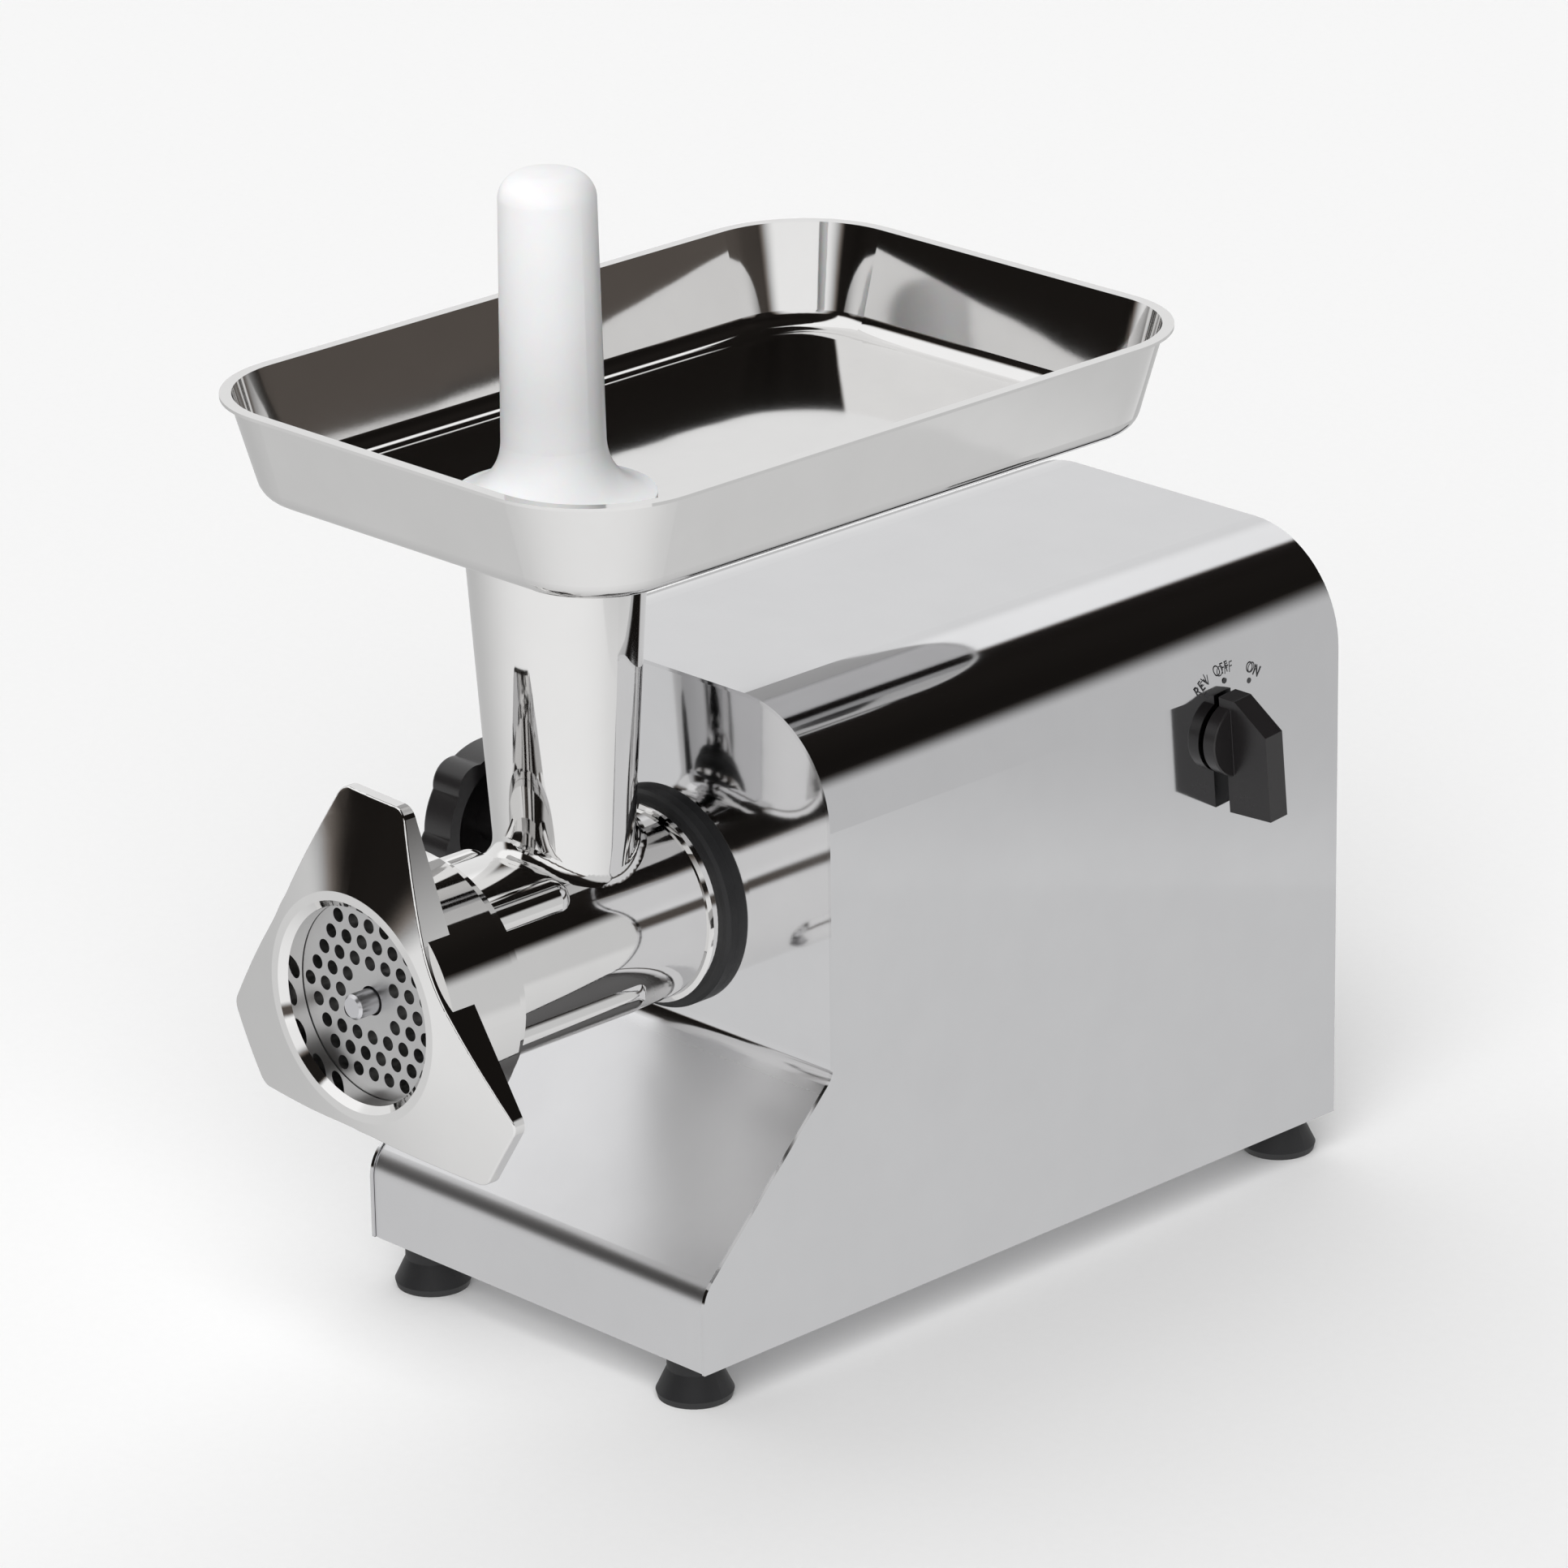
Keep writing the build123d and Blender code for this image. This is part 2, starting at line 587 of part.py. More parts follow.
with BuildPart() as auger:
    tube(flight_y, flight_end - flight_y, AUGER_CORE)
    with BuildSketch(across(knife_y, 0, AXIS_HEIGHT)):
        Rectangle(KNIFE_SQUARE, KNIFE_SQUARE)
    extrude(amount=-(KNIFE_THICKNESS + 1.0))
    flight_run = flight_end - flight_y - 2 * FLIGHT_THICKNESS - 6.0
    flight_start = flight_y + FLIGHT_THICKNESS / 2 + 8.0
    with BuildLine() as spiral:
        Helix(AUGER_PITCH, flight_run, AUGER_CORE - 1.0, center=(0, flight_start, AXIS_HEIGHT),
              direction=(0, 1, 0))
    spiral_start = spiral.line @ 0
    outward = Vector(spiral_start.X, 0, spiral_start.Z - AXIS_HEIGHT).normalized()
    blade = Plane(origin=spiral_start, x_dir=outward, z_dir=outward.cross(Vector(0, 1, 0)))
    with BuildSketch(blade):
        Rectangle(flight_radius - AUGER_CORE + 1.0, FLIGHT_THICKNESS, align=(Align.MIN, Align.CENTER))
    sweep(is_frenet=True)
    tube(flight_end, neck_end_y - REAR_WALL - 1.0 - flight_end, BARREL_BORE - 1.0)
    tube(neck_end_y - REAR_WALL - 1.0, REAR_WALL + 1.0, JOURNAL_RADIUS)
    with BuildSketch(across(neck_end_y, 0, AXIS_HEIGHT)):
        RegularPolygon(DRIVE_FLATS / 2, 6, major_radius=False)
    extrude(amount=-DRIVE_LENGTH)
    tube(knife_y, 24.0, STUD_RADIUS + 0.05, mode=Mode.SUBTRACT)

with BuildPart() as auger_stud:
    tube(ring_y + 0.2, knife_y + 23.5 - ring_y, STUD_RADIUS)
    chamfer(auger_stud.edges().group_by(Axis.Y)[0], 0.8)

with BuildPart() as auger_washer:
    tube(neck_end_y - REAR_WALL - 0.9, 0.8, 20.0, JOURNAL_RADIUS + 0.1)

# ================= Tray and pusher =================

tray_slope = atan2(TRAY_DRAFT, TRAY_DEPTH)


def bowl(inset):
    """The tray's tapered bowl, filled, with its floor and walls moved in by inset."""
    narrower = TRAY_RIM + TRAY_DRAFT + inset / cos(tray_slope) - inset * tan(tray_slope)
    with BuildPart() as solid:
        with BuildSketch(Plane.XY.offset(tray_z + inset)):
            with Locations((0, tray_y)):
                size = (TRAY_WIDTH - 2 * narrower, TRAY_LENGTH - 2 * narrower)
                RectangleRounded(*size, TRAY_CORNER - narrower)
        extrude(amount=TRAY_DEPTH - inset, taper=-degrees(tray_slope))
        fillet(solid.edges().group_by(Axis.Z)[0], TRAY_FLOOR_BEND - inset)
    return solid.part


tray_outside = bowl(0)
tray_inside = bowl(TRAY_SHEET)

with BuildPart() as feed_tray:
    add(tray_outside)
    add(tray_inside, mode=Mode.SUBTRACT)
    with BuildSketch(Plane.XY.offset(tray_z + TRAY_DEPTH)):
        with Locations((0, tray_y)):
            RectangleRounded(TRAY_WIDTH, TRAY_LENGTH, TRAY_CORNER)
            lip = 2 * (TRAY_RIM + 0.6 * TRAY_SHEET)
            RectangleRounded(TRAY_WIDTH - lip, TRAY_LENGTH - lip, TRAY_CORNER - lip / 2,
                             mode=Mode.SUBTRACT)
    extrude(amount=-TRAY_SHEET)
    with BuildSketch(Plane.XY.offset(tray_z + TRAY_SHEET)):
        with Locations((0, tray_y)):
            size = (TRAY_WIDTH - 2 * FLOOR_PANEL_INSET, TRAY_LENGTH - 2 * FLOOR_PANEL_INSET)
            RectangleRounded(*size, TRAY_CORNER - FLOOR_PANEL_INSET)
    extrude(amount=FLOOR_PANEL_RISE, taper=45.0)
    with BuildSketch(Plane.XY.offset(tray_z + TRAY_SHEET / 2)):
        with Locations((0, throat_y)):
            Circle(SPIGOT_RADIUS)
    extrude(amount=-(TRAY_SHEET / 2 + SPIGOT_DEPTH))
    with BuildSketch(Plane.XY.offset(tray_z + 2 * TRAY_SHEET)):
        with Locations((0, throat_y)):
            Circle(SPIGOT_RADIUS - TRAY_SHEET)
    extrude(amount=-(2 * TRAY_SHEET + SPIGOT_DEPTH), mode=Mode.SUBTRACT)

with BuildPart() as pusher:
    seat = tray_z + TRAY_SHEET + FLOOR_PANEL_RISE + LOOSE
    upright = Plane(origin=(0, throat_y, 0), x_dir=(1, 0, 0), z_dir=(0, -1, 0))
    with BuildSketch(upright) as half_view:
        with BuildLine():
            top_bend = 8.5
            flare = 15.0
            neck = PUSHER_RADIUS + 0.8
            Polyline((0, seat - PUSHER_REACH), (PUSHER_FOOT_RADIUS, seat - PUSHER_REACH),
                             (PUSHER_FOOT_RADIUS, seat), (PUSHER_FLANGE, seat), (PUSHER_FLANGE, seat + 2.6))
            Spline((PUSHER_FLANGE, seat + 2.6), (neck + 6.0, seat + 6.6), (neck, seat + 4.0 + flare),
                   tangents=((-1, 0.18), (-0.06, 1)))
            Line((neck, seat + 4.0 + flare), (PUSHER_RADIUS - 0.3, PUSHER_TOP - top_bend))
            crown_start = (PUSHER_RADIUS - 0.3, PUSHER_TOP - top_bend)
            crown_end = (PUSHER_RADIUS - top_bend, PUSHER_TOP - 0.8)
            RadiusArc(crown_start, crown_end, -top_bend)
            Line((PUSHER_RADIUS - top_bend, PUSHER_TOP - 0.8), (0, PUSHER_TOP))
            Line((0, PUSHER_TOP), (0, seat - PUSHER_REACH))
        make_face()
    revolve(axis=Axis((0, throat_y, 0), (0, 0, 1)))
    fillet(pusher.edges().group_by(Axis.Z)[0], 3.0)

# ================= Clamp knob =================

clamp_x = -(wall_x + CLAMP_REACH)
CLAMP_DEPTH = 13.0
LOBES = 6
LOBE_RADIUS = 8.0

with BuildPart() as clamp_knob:
    with BuildSketch(beside(clamp_x, clamp_y, AXIS_HEIGHT)):
        Circle(CLAMP_RADIUS - 2.4)
        with PolarLocations(CLAMP_RADIUS - LOBE_RADIUS, LOBES, 12.0):
            Circle(LOBE_RADIUS)
    extrude(amount=CLAMP_DEPTH)
    fillet(clamp_knob.edges().group_by(Axis.X)[0], 1.5)
    with BuildSketch(beside(clamp_x + CLAMP_DEPTH, clamp_y, AXIS_HEIGHT)):
        Circle(CLAMP_RADIUS - 6.5)
        Circle(7.5, mode=Mode.SUBTRACT)
    extrude(amount=-(CLAMP_DEPTH - 5.0), mode=Mode.SUBTRACT)
    with BuildSketch(beside(clamp_x + CLAMP_DEPTH, clamp_y, AXIS_HEIGHT)):
        Circle(7.5)
    extrude(amount=CLAMP_REACH - CLAMP_DEPTH - LOOSE - 0.5)
    drill(beside(clamp_x + 5.0, clamp_y, AXIS_HEIGHT), [(0, 0)], CLAMP_SCREW + 0.02, -CLAMP_REACH)

with BuildPart() as clamp_screw:
    with BuildSketch(beside(clamp_x + 5.0, clamp_y, AXIS_HEIGHT)):
        Circle(CLAMP_SCREW)
    extrude(amount=-BARREL_RADIUS - LOOSE - (clamp_x + 5.0))
    chamfer(clamp_screw.edges().group_by(Axis.X)[-1], 0.8)

# ================= Switch =================

knob_x = wall_x + SWITCH_GAP
HUB_RADIUS = 12.2
HUB_HEIGHT = 4.8
GRIP_WIDTH = 7.8
GRIP_NOTCH = 2.0  # the grip's tail stands this much farther from the wall than the hub
KNOB_LEAN = 5.0  # degrees that the grip leans to the front when off
SPINDLE_GRIP = 4.0
lean = radians(KNOB_LEAN)
GRIP_SIDE = [
    (0, 14.6),
    (6.6, 14.6),
    (SWITCH_REACH - 0.2, 5.2),
    (SWITCH_REACH, -23.6),
    (GRIP_NOTCH, -24.6),
    (GRIP_NOTCH, -9.0),
    (0, -9.0),
]

with BuildPart() as switch_knob:
    with BuildSketch(beside(knob_x, switch_y, SWITCH_HEIGHT)):
        Circle(HUB_RADIUS)
    extrude(amount=HUB_HEIGHT)
    chamfer(switch_knob.edges().group_by(Axis.X)[-1], 0.4)
    grip_plane = Plane(origin=(knob_x, switch_y, SWITCH_HEIGHT), x_dir=(1, 0, 0),
                       z_dir=(0, -cos(lean), -sin(lean)))
    with BuildSketch(grip_plane):
        with BuildLine():
            Polyline(*GRIP_SIDE, close=True)
        make_face()
    extrude(amount=GRIP_WIDTH / 2, both=True)
    drill(beside(knob_x, switch_y, SWITCH_HEIGHT), [(0, 0)], SPINDLE_RADIUS + 0.02, -SPINDLE_GRIP)

switch_face_x = wall_x - SHEET - 0.1

with BuildPart() as switch_spindle:
    with BuildSketch(beside(switch_face_x - 8.0, switch_y, SWITCH_HEIGHT)):
        Circle(SPINDLE_RADIUS)
    extrude(amount=knob_x + SPINDLE_GRIP - (switch_face_x - 8.0))

with BuildPart() as switch_body:
    with BuildSketch(beside(switch_face_x, switch_y, SWITCH_HEIGHT)):
        RectangleRounded(SWITCH_BODY, SWITCH_BODY, 3.0)
    extrude(amount=-SWITCH_BODY_DEPTH)
    drill(beside(switch_face_x, switch_y, SWITCH_HEIGHT), [(0, 0)], SPINDLE_RADIUS + RUNNING, 9.0)
    with BuildSketch(beside(switch_face_x - SWITCH_BODY_DEPTH, switch_y, SWITCH_HEIGHT)):
        with GridLocations(9.0, 14.0, 2, 2):
            Rectangle(0.8, 6.3)
    extrude(amount=-5.0)

# ================= Gearbox =================

aim_2 = degrees(atan2(lay_z - AXIS_HEIGHT, lay_x))  # output axis to layshaft
aim_1 = degrees(atan2(motor_z - lay_z, -lay_x))  # layshaft to motor axis
tip_1 = module_1 * wheel_1 / 2 + module_1
tip_2 = module_2 * wheel_2 / 2 + module_2
WHEEL_ROOM = 5.0
room_left = -tip_2 - WHEEL_ROOM
room_right = max(tip_2, lay_x + tip_1) + WHEEL_ROOM
room_low = min(AXIS_HEIGHT - tip_2, lay_z - tip_1) - WHEEL_ROOM
room_high = AXIS_HEIGHT + tip_2 + WHEEL_ROOM
room_size = (room_right - room_left, room_high - room_low)
room_middle = ((room_left + room_right) / 2, (room_low + room_high) / 2)
case_size = (room_size[0] + 2 * CASE_SIDE, room_size[1] + 2 * CASE_SIDE)
case_bolt_places = [
    (room_middle[0] + i * (room_size[0] / 2 - 4.0), room_middle[1] + j * (room_size[1] / 2 - 4.0))
    for i in (-1, 1)
    for j in (-1, 1)
]
CASE_BOSS = 6.0
SCREW_WELL = 2.8
motor_bolt_half = MOTOR_SIZE / 2 - 7.0
motor_bolt_places = [(i * motor_bolt_half, motor_z + j * motor_bolt_half) for i in (-1, 1) for j in (-1, 1)]
FRONT_BEARING = 19.0
LAY_BEARING = 11.0
TAIL_BEARING = 14.0
MOTOR_BEARING = 13.0
front_bearing_y = case_y + CASE_WALL - 3.0
FRONT_BEARING_WIDTH = 10.0
SMALL_BEARING_WIDTH = 7.0
lay_front_y = case_y + CASE_WALL
tail_bearing_y = cover_plate_y - SMALL_BEARING_WIDTH - 0.5

with BuildPart() as gearbox_case:
    with BuildSketch(across(case_y)):
        with Locations(room_middle):
            RectangleRounded(*case_size, 10.0)
    extrude(amount=-(cover_plate_y - case_y))
    with BuildSketch(across(case_y + CASE_WALL)) as room:
        with Locations(room_middle):
            RectangleRounded(*room_size, 6.0)
        with Locations(*case_bolt_places):
            Circle(CASE_BOSS, mode=Mode.SUBTRACT)
    extrude(amount=-(cover_plate_y - case_y), mode=Mode.SUBTRACT)
    socket_y = cover_y + SHEET + 0.7
    tube(socket_y, case_y - socket_y + 1.0, BARREL_RADIUS + 9.0)
    with BuildSketch(beside(-wall_x + SHEET + 1.0, clamp_y, AXIS_HEIGHT)):
        Circle(CLAMP_SCREW + 3.0)
    extrude(amount=wall_x - SHEET - 1.0 - BARREL_RADIUS - 2.0)
    tube(front_bearing_y, FRONT_BEARING_WIDTH, FRONT_BEARING + 4.0)
    tube(lay_front_y - 0.5, SMALL_BEARING_WIDTH + 0.5, LAY_BEARING + 3.0, x=lay_x, z=lay_z)
    with BuildSketch(Plane.XY.offset(floor_z)):
        with Locations((0, case_foot_y)):
            RectangleRounded(CASE_FOOT[0], CASE_FOOT[1], 4.0)
    extrude(amount=CASE_FOOT[2])
    with BuildSketch(Plane.XY.offset(floor_z)):
        with Locations((0, case_foot_y)):
            Rectangle(CASE_FOOT[0] - 40.0, 12.0)
    extrude(amount=room_low - CASE_SIDE - floor_z + 1.0)
    tube(socket_y - 1.0, case_y - socket_y + 1.0, BARREL_RADIUS + 0.04, mode=Mode.SUBTRACT)
    tube(case_y - 1.0, CASE_WALL + 30.0, FRONT_BEARING - 4.0, mode=Mode.SUBTRACT)
    tube(front_bearing_y, FRONT_BEARING_WIDTH + 5.0, FRONT_BEARING, mode=Mode.SUBTRACT)
    tube(lay_front_y, SMALL_BEARING_WIDTH + 5.0, LAY_BEARING, x=lay_x, z=lay_z, mode=Mode.SUBTRACT)
    drill(beside(-wall_x, clamp_y, AXIS_HEIGHT), [(0, 0)], CLAMP_SCREW + RUNNING, -wall_x)
    drill(Plane.XY.offset(floor_z + CASE_FOOT[2]), case_foot_places, CASE_SCREW + 0.2, CASE_FOOT[2])
    drill(across(cover_plate_y - 14.0), case_bolt_places, 2.05, 15.0)

with BuildPart() as gearbox_cover:
    with BuildSketch(across(cover_plate_y)):
        with Locations(room_middle):
            RectangleRounded(*case_size, 10.0)
        with Locations((0, motor_z)):
            RectangleRounded(MOTOR_SIZE, MOTOR_SIZE, 12.0)
    extrude(amount=-COVER_PLATE)
    tube(tail_bearing_y, SMALL_BEARING_WIDTH + 1.0, TAIL_BEARING + 3.0)
    tube(tail_bearing_y - 1.0, SMALL_BEARING_WIDTH + 1.0, TAIL_BEARING, mode=Mode.SUBTRACT)
    tube(cover_plate_y - 1.0, SMALL_BEARING_WIDTH, LAY_BEARING, x=lay_x, z=lay_z, mode=Mode.SUBTRACT)
    tube(cover_plate_y - 1.0, COVER_PLATE + 2.0, MOTOR_SHAFT + 1.5, z=motor_z, mode=Mode.SUBTRACT)
    drill(across(cover_plate_y), case_bolt_places, 2.3, COVER_PLATE)
    drill(across(cover_plate_y + COVER_PLATE - SCREW_WELL), case_bolt_places, 3.9, SCREW_WELL)
    drill(across(cover_plate_y + 2.0), motor_bolt_places, 2.55, COVER_PLATE)

with BuildPart() as gearbox_screws:
    for x, z in case_bolt_places:
        screw(rearward(x, cover_plate_y + COVER_PLATE - SCREW_WELL, z), [(0, 0)], 2.0, 3.6, 2.4, 14.0)

with BuildPart() as case_foot_screws:
    screw(Plane.XY.offset(floor_z + CASE_FOOT[2]), case_foot_places, CASE_SCREW, 5.0, 3.0, CASE_FOOT[2] + 7.0)

with BuildPart() as shaft_seal:
    tube(case_y, front_bearing_y - case_y - 0.2, FRONT_BEARING - 4.0, OUTPUT_SHAFT + RUNNING)

with BuildPart() as output_bearings:
    tube(front_bearing_y, FRONT_BEARING_WIDTH, FRONT_BEARING, OUTPUT_SHAFT + RUNNING)
    tube(tail_bearing_y, SMALL_BEARING_WIDTH, TAIL_BEARING, OUTPUT_TAIL + RUNNING)

with BuildPart() as layshaft_bearings:
    for start in (lay_front_y, cover_plate_y - 1.0):
        tube(start, SMALL_BEARING_WIDTH - 1.0, LAY_BEARING, LAY_SHAFT + RUNNING, x=lay_x, z=lay_z)

with BuildPart() as output_shaft:
    shaft_start = neck_end_y + 2 * LOOSE
    tube(shaft_start, wheel_2_y + WHEEL_2_WIDTH + 1.0 - shaft_start, OUTPUT_SHAFT)
    tail_start = wheel_2_y + WHEEL_2_WIDTH
    tube(tail_start, cover_plate_y - 1.0 - tail_start, OUTPUT_TAIL)
    with BuildSketch(across(shaft_start, 0, AXIS_HEIGHT)):
        RegularPolygon(DRIVE_FLATS / 2 + 0.2, 6, major_radius=False)
    extrude(amount=-(DRIVE_LENGTH + 2.0), mode=Mode.SUBTRACT)


def gear(start, width, teeth, module, aim, x, z, bore):
    """A spur gear along Y with its bore."""
    outline = gear_face(teeth, module, aim)
    with BuildSketch(across(start, x, z)) as profile:
        add(outline)
        Circle(bore, mode=Mode.SUBTRACT)
    extrude(profile.sketch, amount=-width)


with BuildPart() as output_gear:
    gear(wheel_2_y, WHEEL_2_WIDTH, wheel_2, module_2, aim_2, 0, AXIS_HEIGHT, OUTPUT_SHAFT + 0.02)

with BuildPart() as layshaft_pinion:
    mesh_aim = aim_2 + 180 + 180 / pinion_2
    gear(wheel_2_y - 0.5, WHEEL_2_WIDTH + 1.0, pinion_2, module_2, mesh_aim, lay_x, lay_z, LAY_SHAFT + 0.02)

with BuildPart() as layshaft_gear:
    gear(wheel_1_y, WHEEL_1_WIDTH, wheel_1, module_1, aim_1, lay_x, lay_z, LAY_SHAFT + 0.02)

with BuildPart() as layshaft:
    tube(lay_front_y + 0.5, cover_plate_y + 4.5 - lay_front_y, LAY_SHAFT, x=lay_x, z=lay_z)

with BuildPart() as motor_pinion:
    mesh_aim = aim_1 + 180 + 180 / pinion_1
    gear(wheel_1_y - 0.5, WHEEL_1_WIDTH + 1.0, pinion_1, module_1, mesh_aim, 0, motor_z, 3.52)

# ================= Motor =================

rotor_start = stack_y - 2.0


def motor_square(y, length):
    """The motor's square section with round corners, along Y."""
    with BuildSketch(across(y, 0, motor_z)) as profile:
        RectangleRounded(MOTOR_SIZE, MOTOR_SIZE, 12.0)
    extrude(profile.sketch, amount=-length)


def motor_bolt_holes(y):
    """Clearance holes for the four long motor bolts."""
    with BuildSketch(across(y)) as holes:
        with Locations(*motor_bolt_places):
            Circle(2.7)
    extrude(holes.sketch, amount=-(STACK_LENGTH + 1.0), mode=Mode.SUBTRACT)


with BuildPart() as motor_shaft:
    tube(wheel_1_y - 1.0, WHEEL_1_WIDTH + 3.0, 3.5, z=motor_z)
    step_y = wheel_1_y + WHEEL_1_WIDTH + 2.0
    tube(step_y, fan_y + FAN_DEPTH + 2.0 - step_y, MOTOR_SHAFT, z=motor_z)

with BuildPart() as rotor:
    tube(rotor_start, STACK_LENGTH + 4.0, ROTOR_RADIUS, MOTOR_SHAFT + 0.02, z=motor_z)

with BuildPart() as stator:
    motor_square(stack_y, STACK_LENGTH)
    tube(stack_y - 1.0, STACK_LENGTH + 2.0, ROTOR_RADIUS + 0.6, z=motor_z, mode=Mode.SUBTRACT)
    motor_bolt_holes(stack_y - 0.5)

with BuildPart() as windings:
    for start in (stack_y - 10.0, rear_bell_y):
        tube(start, 10.0, MOTOR_SIZE / 2 - 5.0, ROTOR_RADIUS + 4.0, z=motor_z)
    fillet(windings.edges().group_by(Axis.Y)[0] + windings.edges().group_by(Axis.Y)[-1], 2.5)

BELL_WALL = 5.0
bell_cavity = MOTOR_SIZE / 2 - 3.5

with BuildPart() as motor_front_bell:
    motor_square(bell_y, BELL_DEPTH)
    tube(bell_y + BELL_WALL, BELL_DEPTH, bell_cavity, MOTOR_BEARING + 3.0, z=motor_z, mode=Mode.SUBTRACT)
    tube(bell_y + BELL_WALL + 5.0, BELL_DEPTH, MOTOR_BEARING + 4.0, z=motor_z, mode=Mode.SUBTRACT)
    tube(bell_y + 3.0, BELL_DEPTH, MOTOR_BEARING, z=motor_z, mode=Mode.SUBTRACT)
    tube(bell_y - 1.0, BELL_DEPTH, MOTOR_SHAFT + 1.5, z=motor_z, mode=Mode.SUBTRACT)
    motor_bolt_holes(bell_y - 1.0)

with BuildPart() as motor_rear_bell:
    motor_square(rear_bell_y, BELL_DEPTH)
    tube(rear_bell_y - 1.0, BELL_DEPTH - BELL_WALL + 1.0, bell_cavity, z=motor_z, mode=Mode.SUBTRACT)
    tube(motor_end_y - BELL_WALL - 5.0, BELL_WALL, MOTOR_BEARING + 3.0, z=motor_z)
    rear_seat_y = motor_end_y - 3.0 - SMALL_BEARING_WIDTH
    tube(rear_seat_y, SMALL_BEARING_WIDTH, MOTOR_BEARING, z=motor_z, mode=Mode.SUBTRACT)
    tube(rear_bell_y, BELL_DEPTH + 1.0, MOTOR_SHAFT + 1.5, z=motor_z, mode=Mode.SUBTRACT)
    motor_bolt_holes(rear_bell_y - 1.0)
    foot_top = motor_z - MOTOR_SIZE / 2 + 2.0
    with BuildSketch(Plane.XY.offset(floor_z)):
        with Locations((0, rear_bell_y + BELL_DEPTH / 2)):
            Rectangle(50.0, 12.0)
    extrude(amount=foot_top - floor_z)

with BuildPart() as motor_bearings:
    for start in (bell_y + 3.0, rear_seat_y):
        tube(start, SMALL_BEARING_WIDTH, MOTOR_BEARING, MOTOR_SHAFT + RUNNING, z=motor_z)

with BuildPart() as motor_bolts:
    bolt_length = motor_end_y - cover_plate_y - 2.5
    for x, z in motor_bolt_places:
        screw(rearward(x, motor_end_y, z), [(0, 0)], 2.5, 4.4, 2.6, bolt_length)

with BuildPart() as cooling_fan:
    tube(fan_y, FAN_DEPTH, 9.0, z=motor_z)
    tube(fan_y, 1.6, FAN_RADIUS, z=motor_z)
    with BuildSketch(across(fan_y, 0, motor_z)):
        with PolarLocations(FAN_RADIUS / 2 + 3.0, 9):
            Rectangle(FAN_RADIUS - 8.0, 1.6)
    extrude(amount=-FAN_DEPTH)
    tube(fan_y - 1.0, FAN_DEPTH + 2.0, MOTOR_SHAFT + 0.02, z=motor_z, mode=Mode.SUBTRACT)

# ================= Electrical parts and fasteners =================

with BuildPart() as run_capacitor:
    tube(capacitor_y, 56.0, CAPACITOR_RADIUS, x=capacitor_x, z=capacitor_z)
    fillet(run_capacitor.edges(), 1.5)
    for side in (-1, 1):
        with Locations((capacitor_x + side * 5.0, capacitor_y + 58.0, capacitor_z)):
            Box(0.8, 6.0, 6.3)

with BuildPart() as capacitor_clip:
    band = CAPACITOR_RADIUS + 0.1
    tube(capacitor_y + 20.0, 12.0, band + CLIP_SHEET, band, x=capacitor_x, z=capacitor_z)
    with BuildSketch(Plane.XY.offset(floor_z)):
        with Locations((capacitor_x - CAPACITOR_RADIUS - 4.0, capacitor_y + 26.0)):
            Rectangle(14.0, 12.0)
        with Locations(clip_screw_place):
            Circle(CLIP_SCREW + 0.1, mode=Mode.SUBTRACT)
    extrude(amount=CLIP_SHEET)
    with BuildSketch(Plane.XY.offset(floor_z)):
        with Locations((capacitor_x - band - CLIP_SHEET / 2, capacitor_y + 26.0)):
            Rectangle(CLIP_SHEET, 12.0)
    extrude(amount=capacitor_z - floor_z)

with BuildPart() as capacitor_screw:
    screw(Plane.XY.offset(floor_z + CLIP_SHEET), [clip_screw_place], CLIP_SCREW, 3.2, 2.0, CLIP_SHEET + 4.0)

with BuildPart() as terminal_block:
    with BuildSketch(Plane.XY.offset(floor_z)):
        with Locations((-50.0, rear_bell_y - 10.0)):
            RectangleRounded(20.0, 46.0, 1.5)
    extrude(amount=14.0)
    drill(Plane.XY.offset(floor_z + 14.0),
          [(-50.0 + i * 5.0, rear_bell_y - 10.0 + j * 10.0) for i in (-1, 1) for j in (-1.5, -0.5, 0.5, 1.5)],
          2.0, 6.0)

inlet_back_y = back_y + INLET_FLANGE
INLET_WELL = 1.6
SOCKET_DEPTH = 17.0

with BuildPart() as mains_inlet:
    with BuildSketch(across(back_y - COVER_RECESS, INLET_X, INLET_HEIGHT)):
        RectangleRounded(50.0, 26.0, 4.0)
    extrude(amount=-(INLET_FLANGE + COVER_RECESS))
    drill(across(back_y - 2.0), inlet_screw_places, 1.7, 8.0)
    drill(across(inlet_back_y - INLET_WELL), inlet_screw_places, 3.1, 2.0)
    with BuildSketch(across(inlet_back_y - SOCKET_DEPTH - 5.0, INLET_X, INLET_HEIGHT)):
        Rectangle(inlet_cut[0] - 0.4, inlet_cut[1] - 0.4)
    extrude(amount=-(SOCKET_DEPTH + 4.0))
    with BuildSketch(across(inlet_back_y - SOCKET_DEPTH, INLET_X, INLET_HEIGHT)):
        Rectangle(24.0, 16.4)
    extrude(amount=-SOCKET_DEPTH, mode=Mode.SUBTRACT)
    with BuildSketch(across(inlet_back_y - SOCKET_DEPTH - 1.0, INLET_X, INLET_HEIGHT)):
        with Locations((-7.0, -3.0), (0, 0.5), (7.0, -3.0)):
            Rectangle(2.0, 4.0)
    extrude(amount=-SOCKET_DEPTH + 2.0)

with BuildPart() as inlet_screws:
    for x, z in inlet_screw_places:
        screw(rearward(x, inlet_back_y - INLET_WELL, z), [(0, 0)], 1.5, 2.9, INLET_WELL, 10.0)

with BuildPart() as rear_cover_screws:
    for x, z in rear_screw_places:
        screw(rearward(x, back_y - COVER_RECESS, z), [(0, 0)], REAR_SCREW, 3.4, 1.8, 8.0)

# ================= Write the parts =================

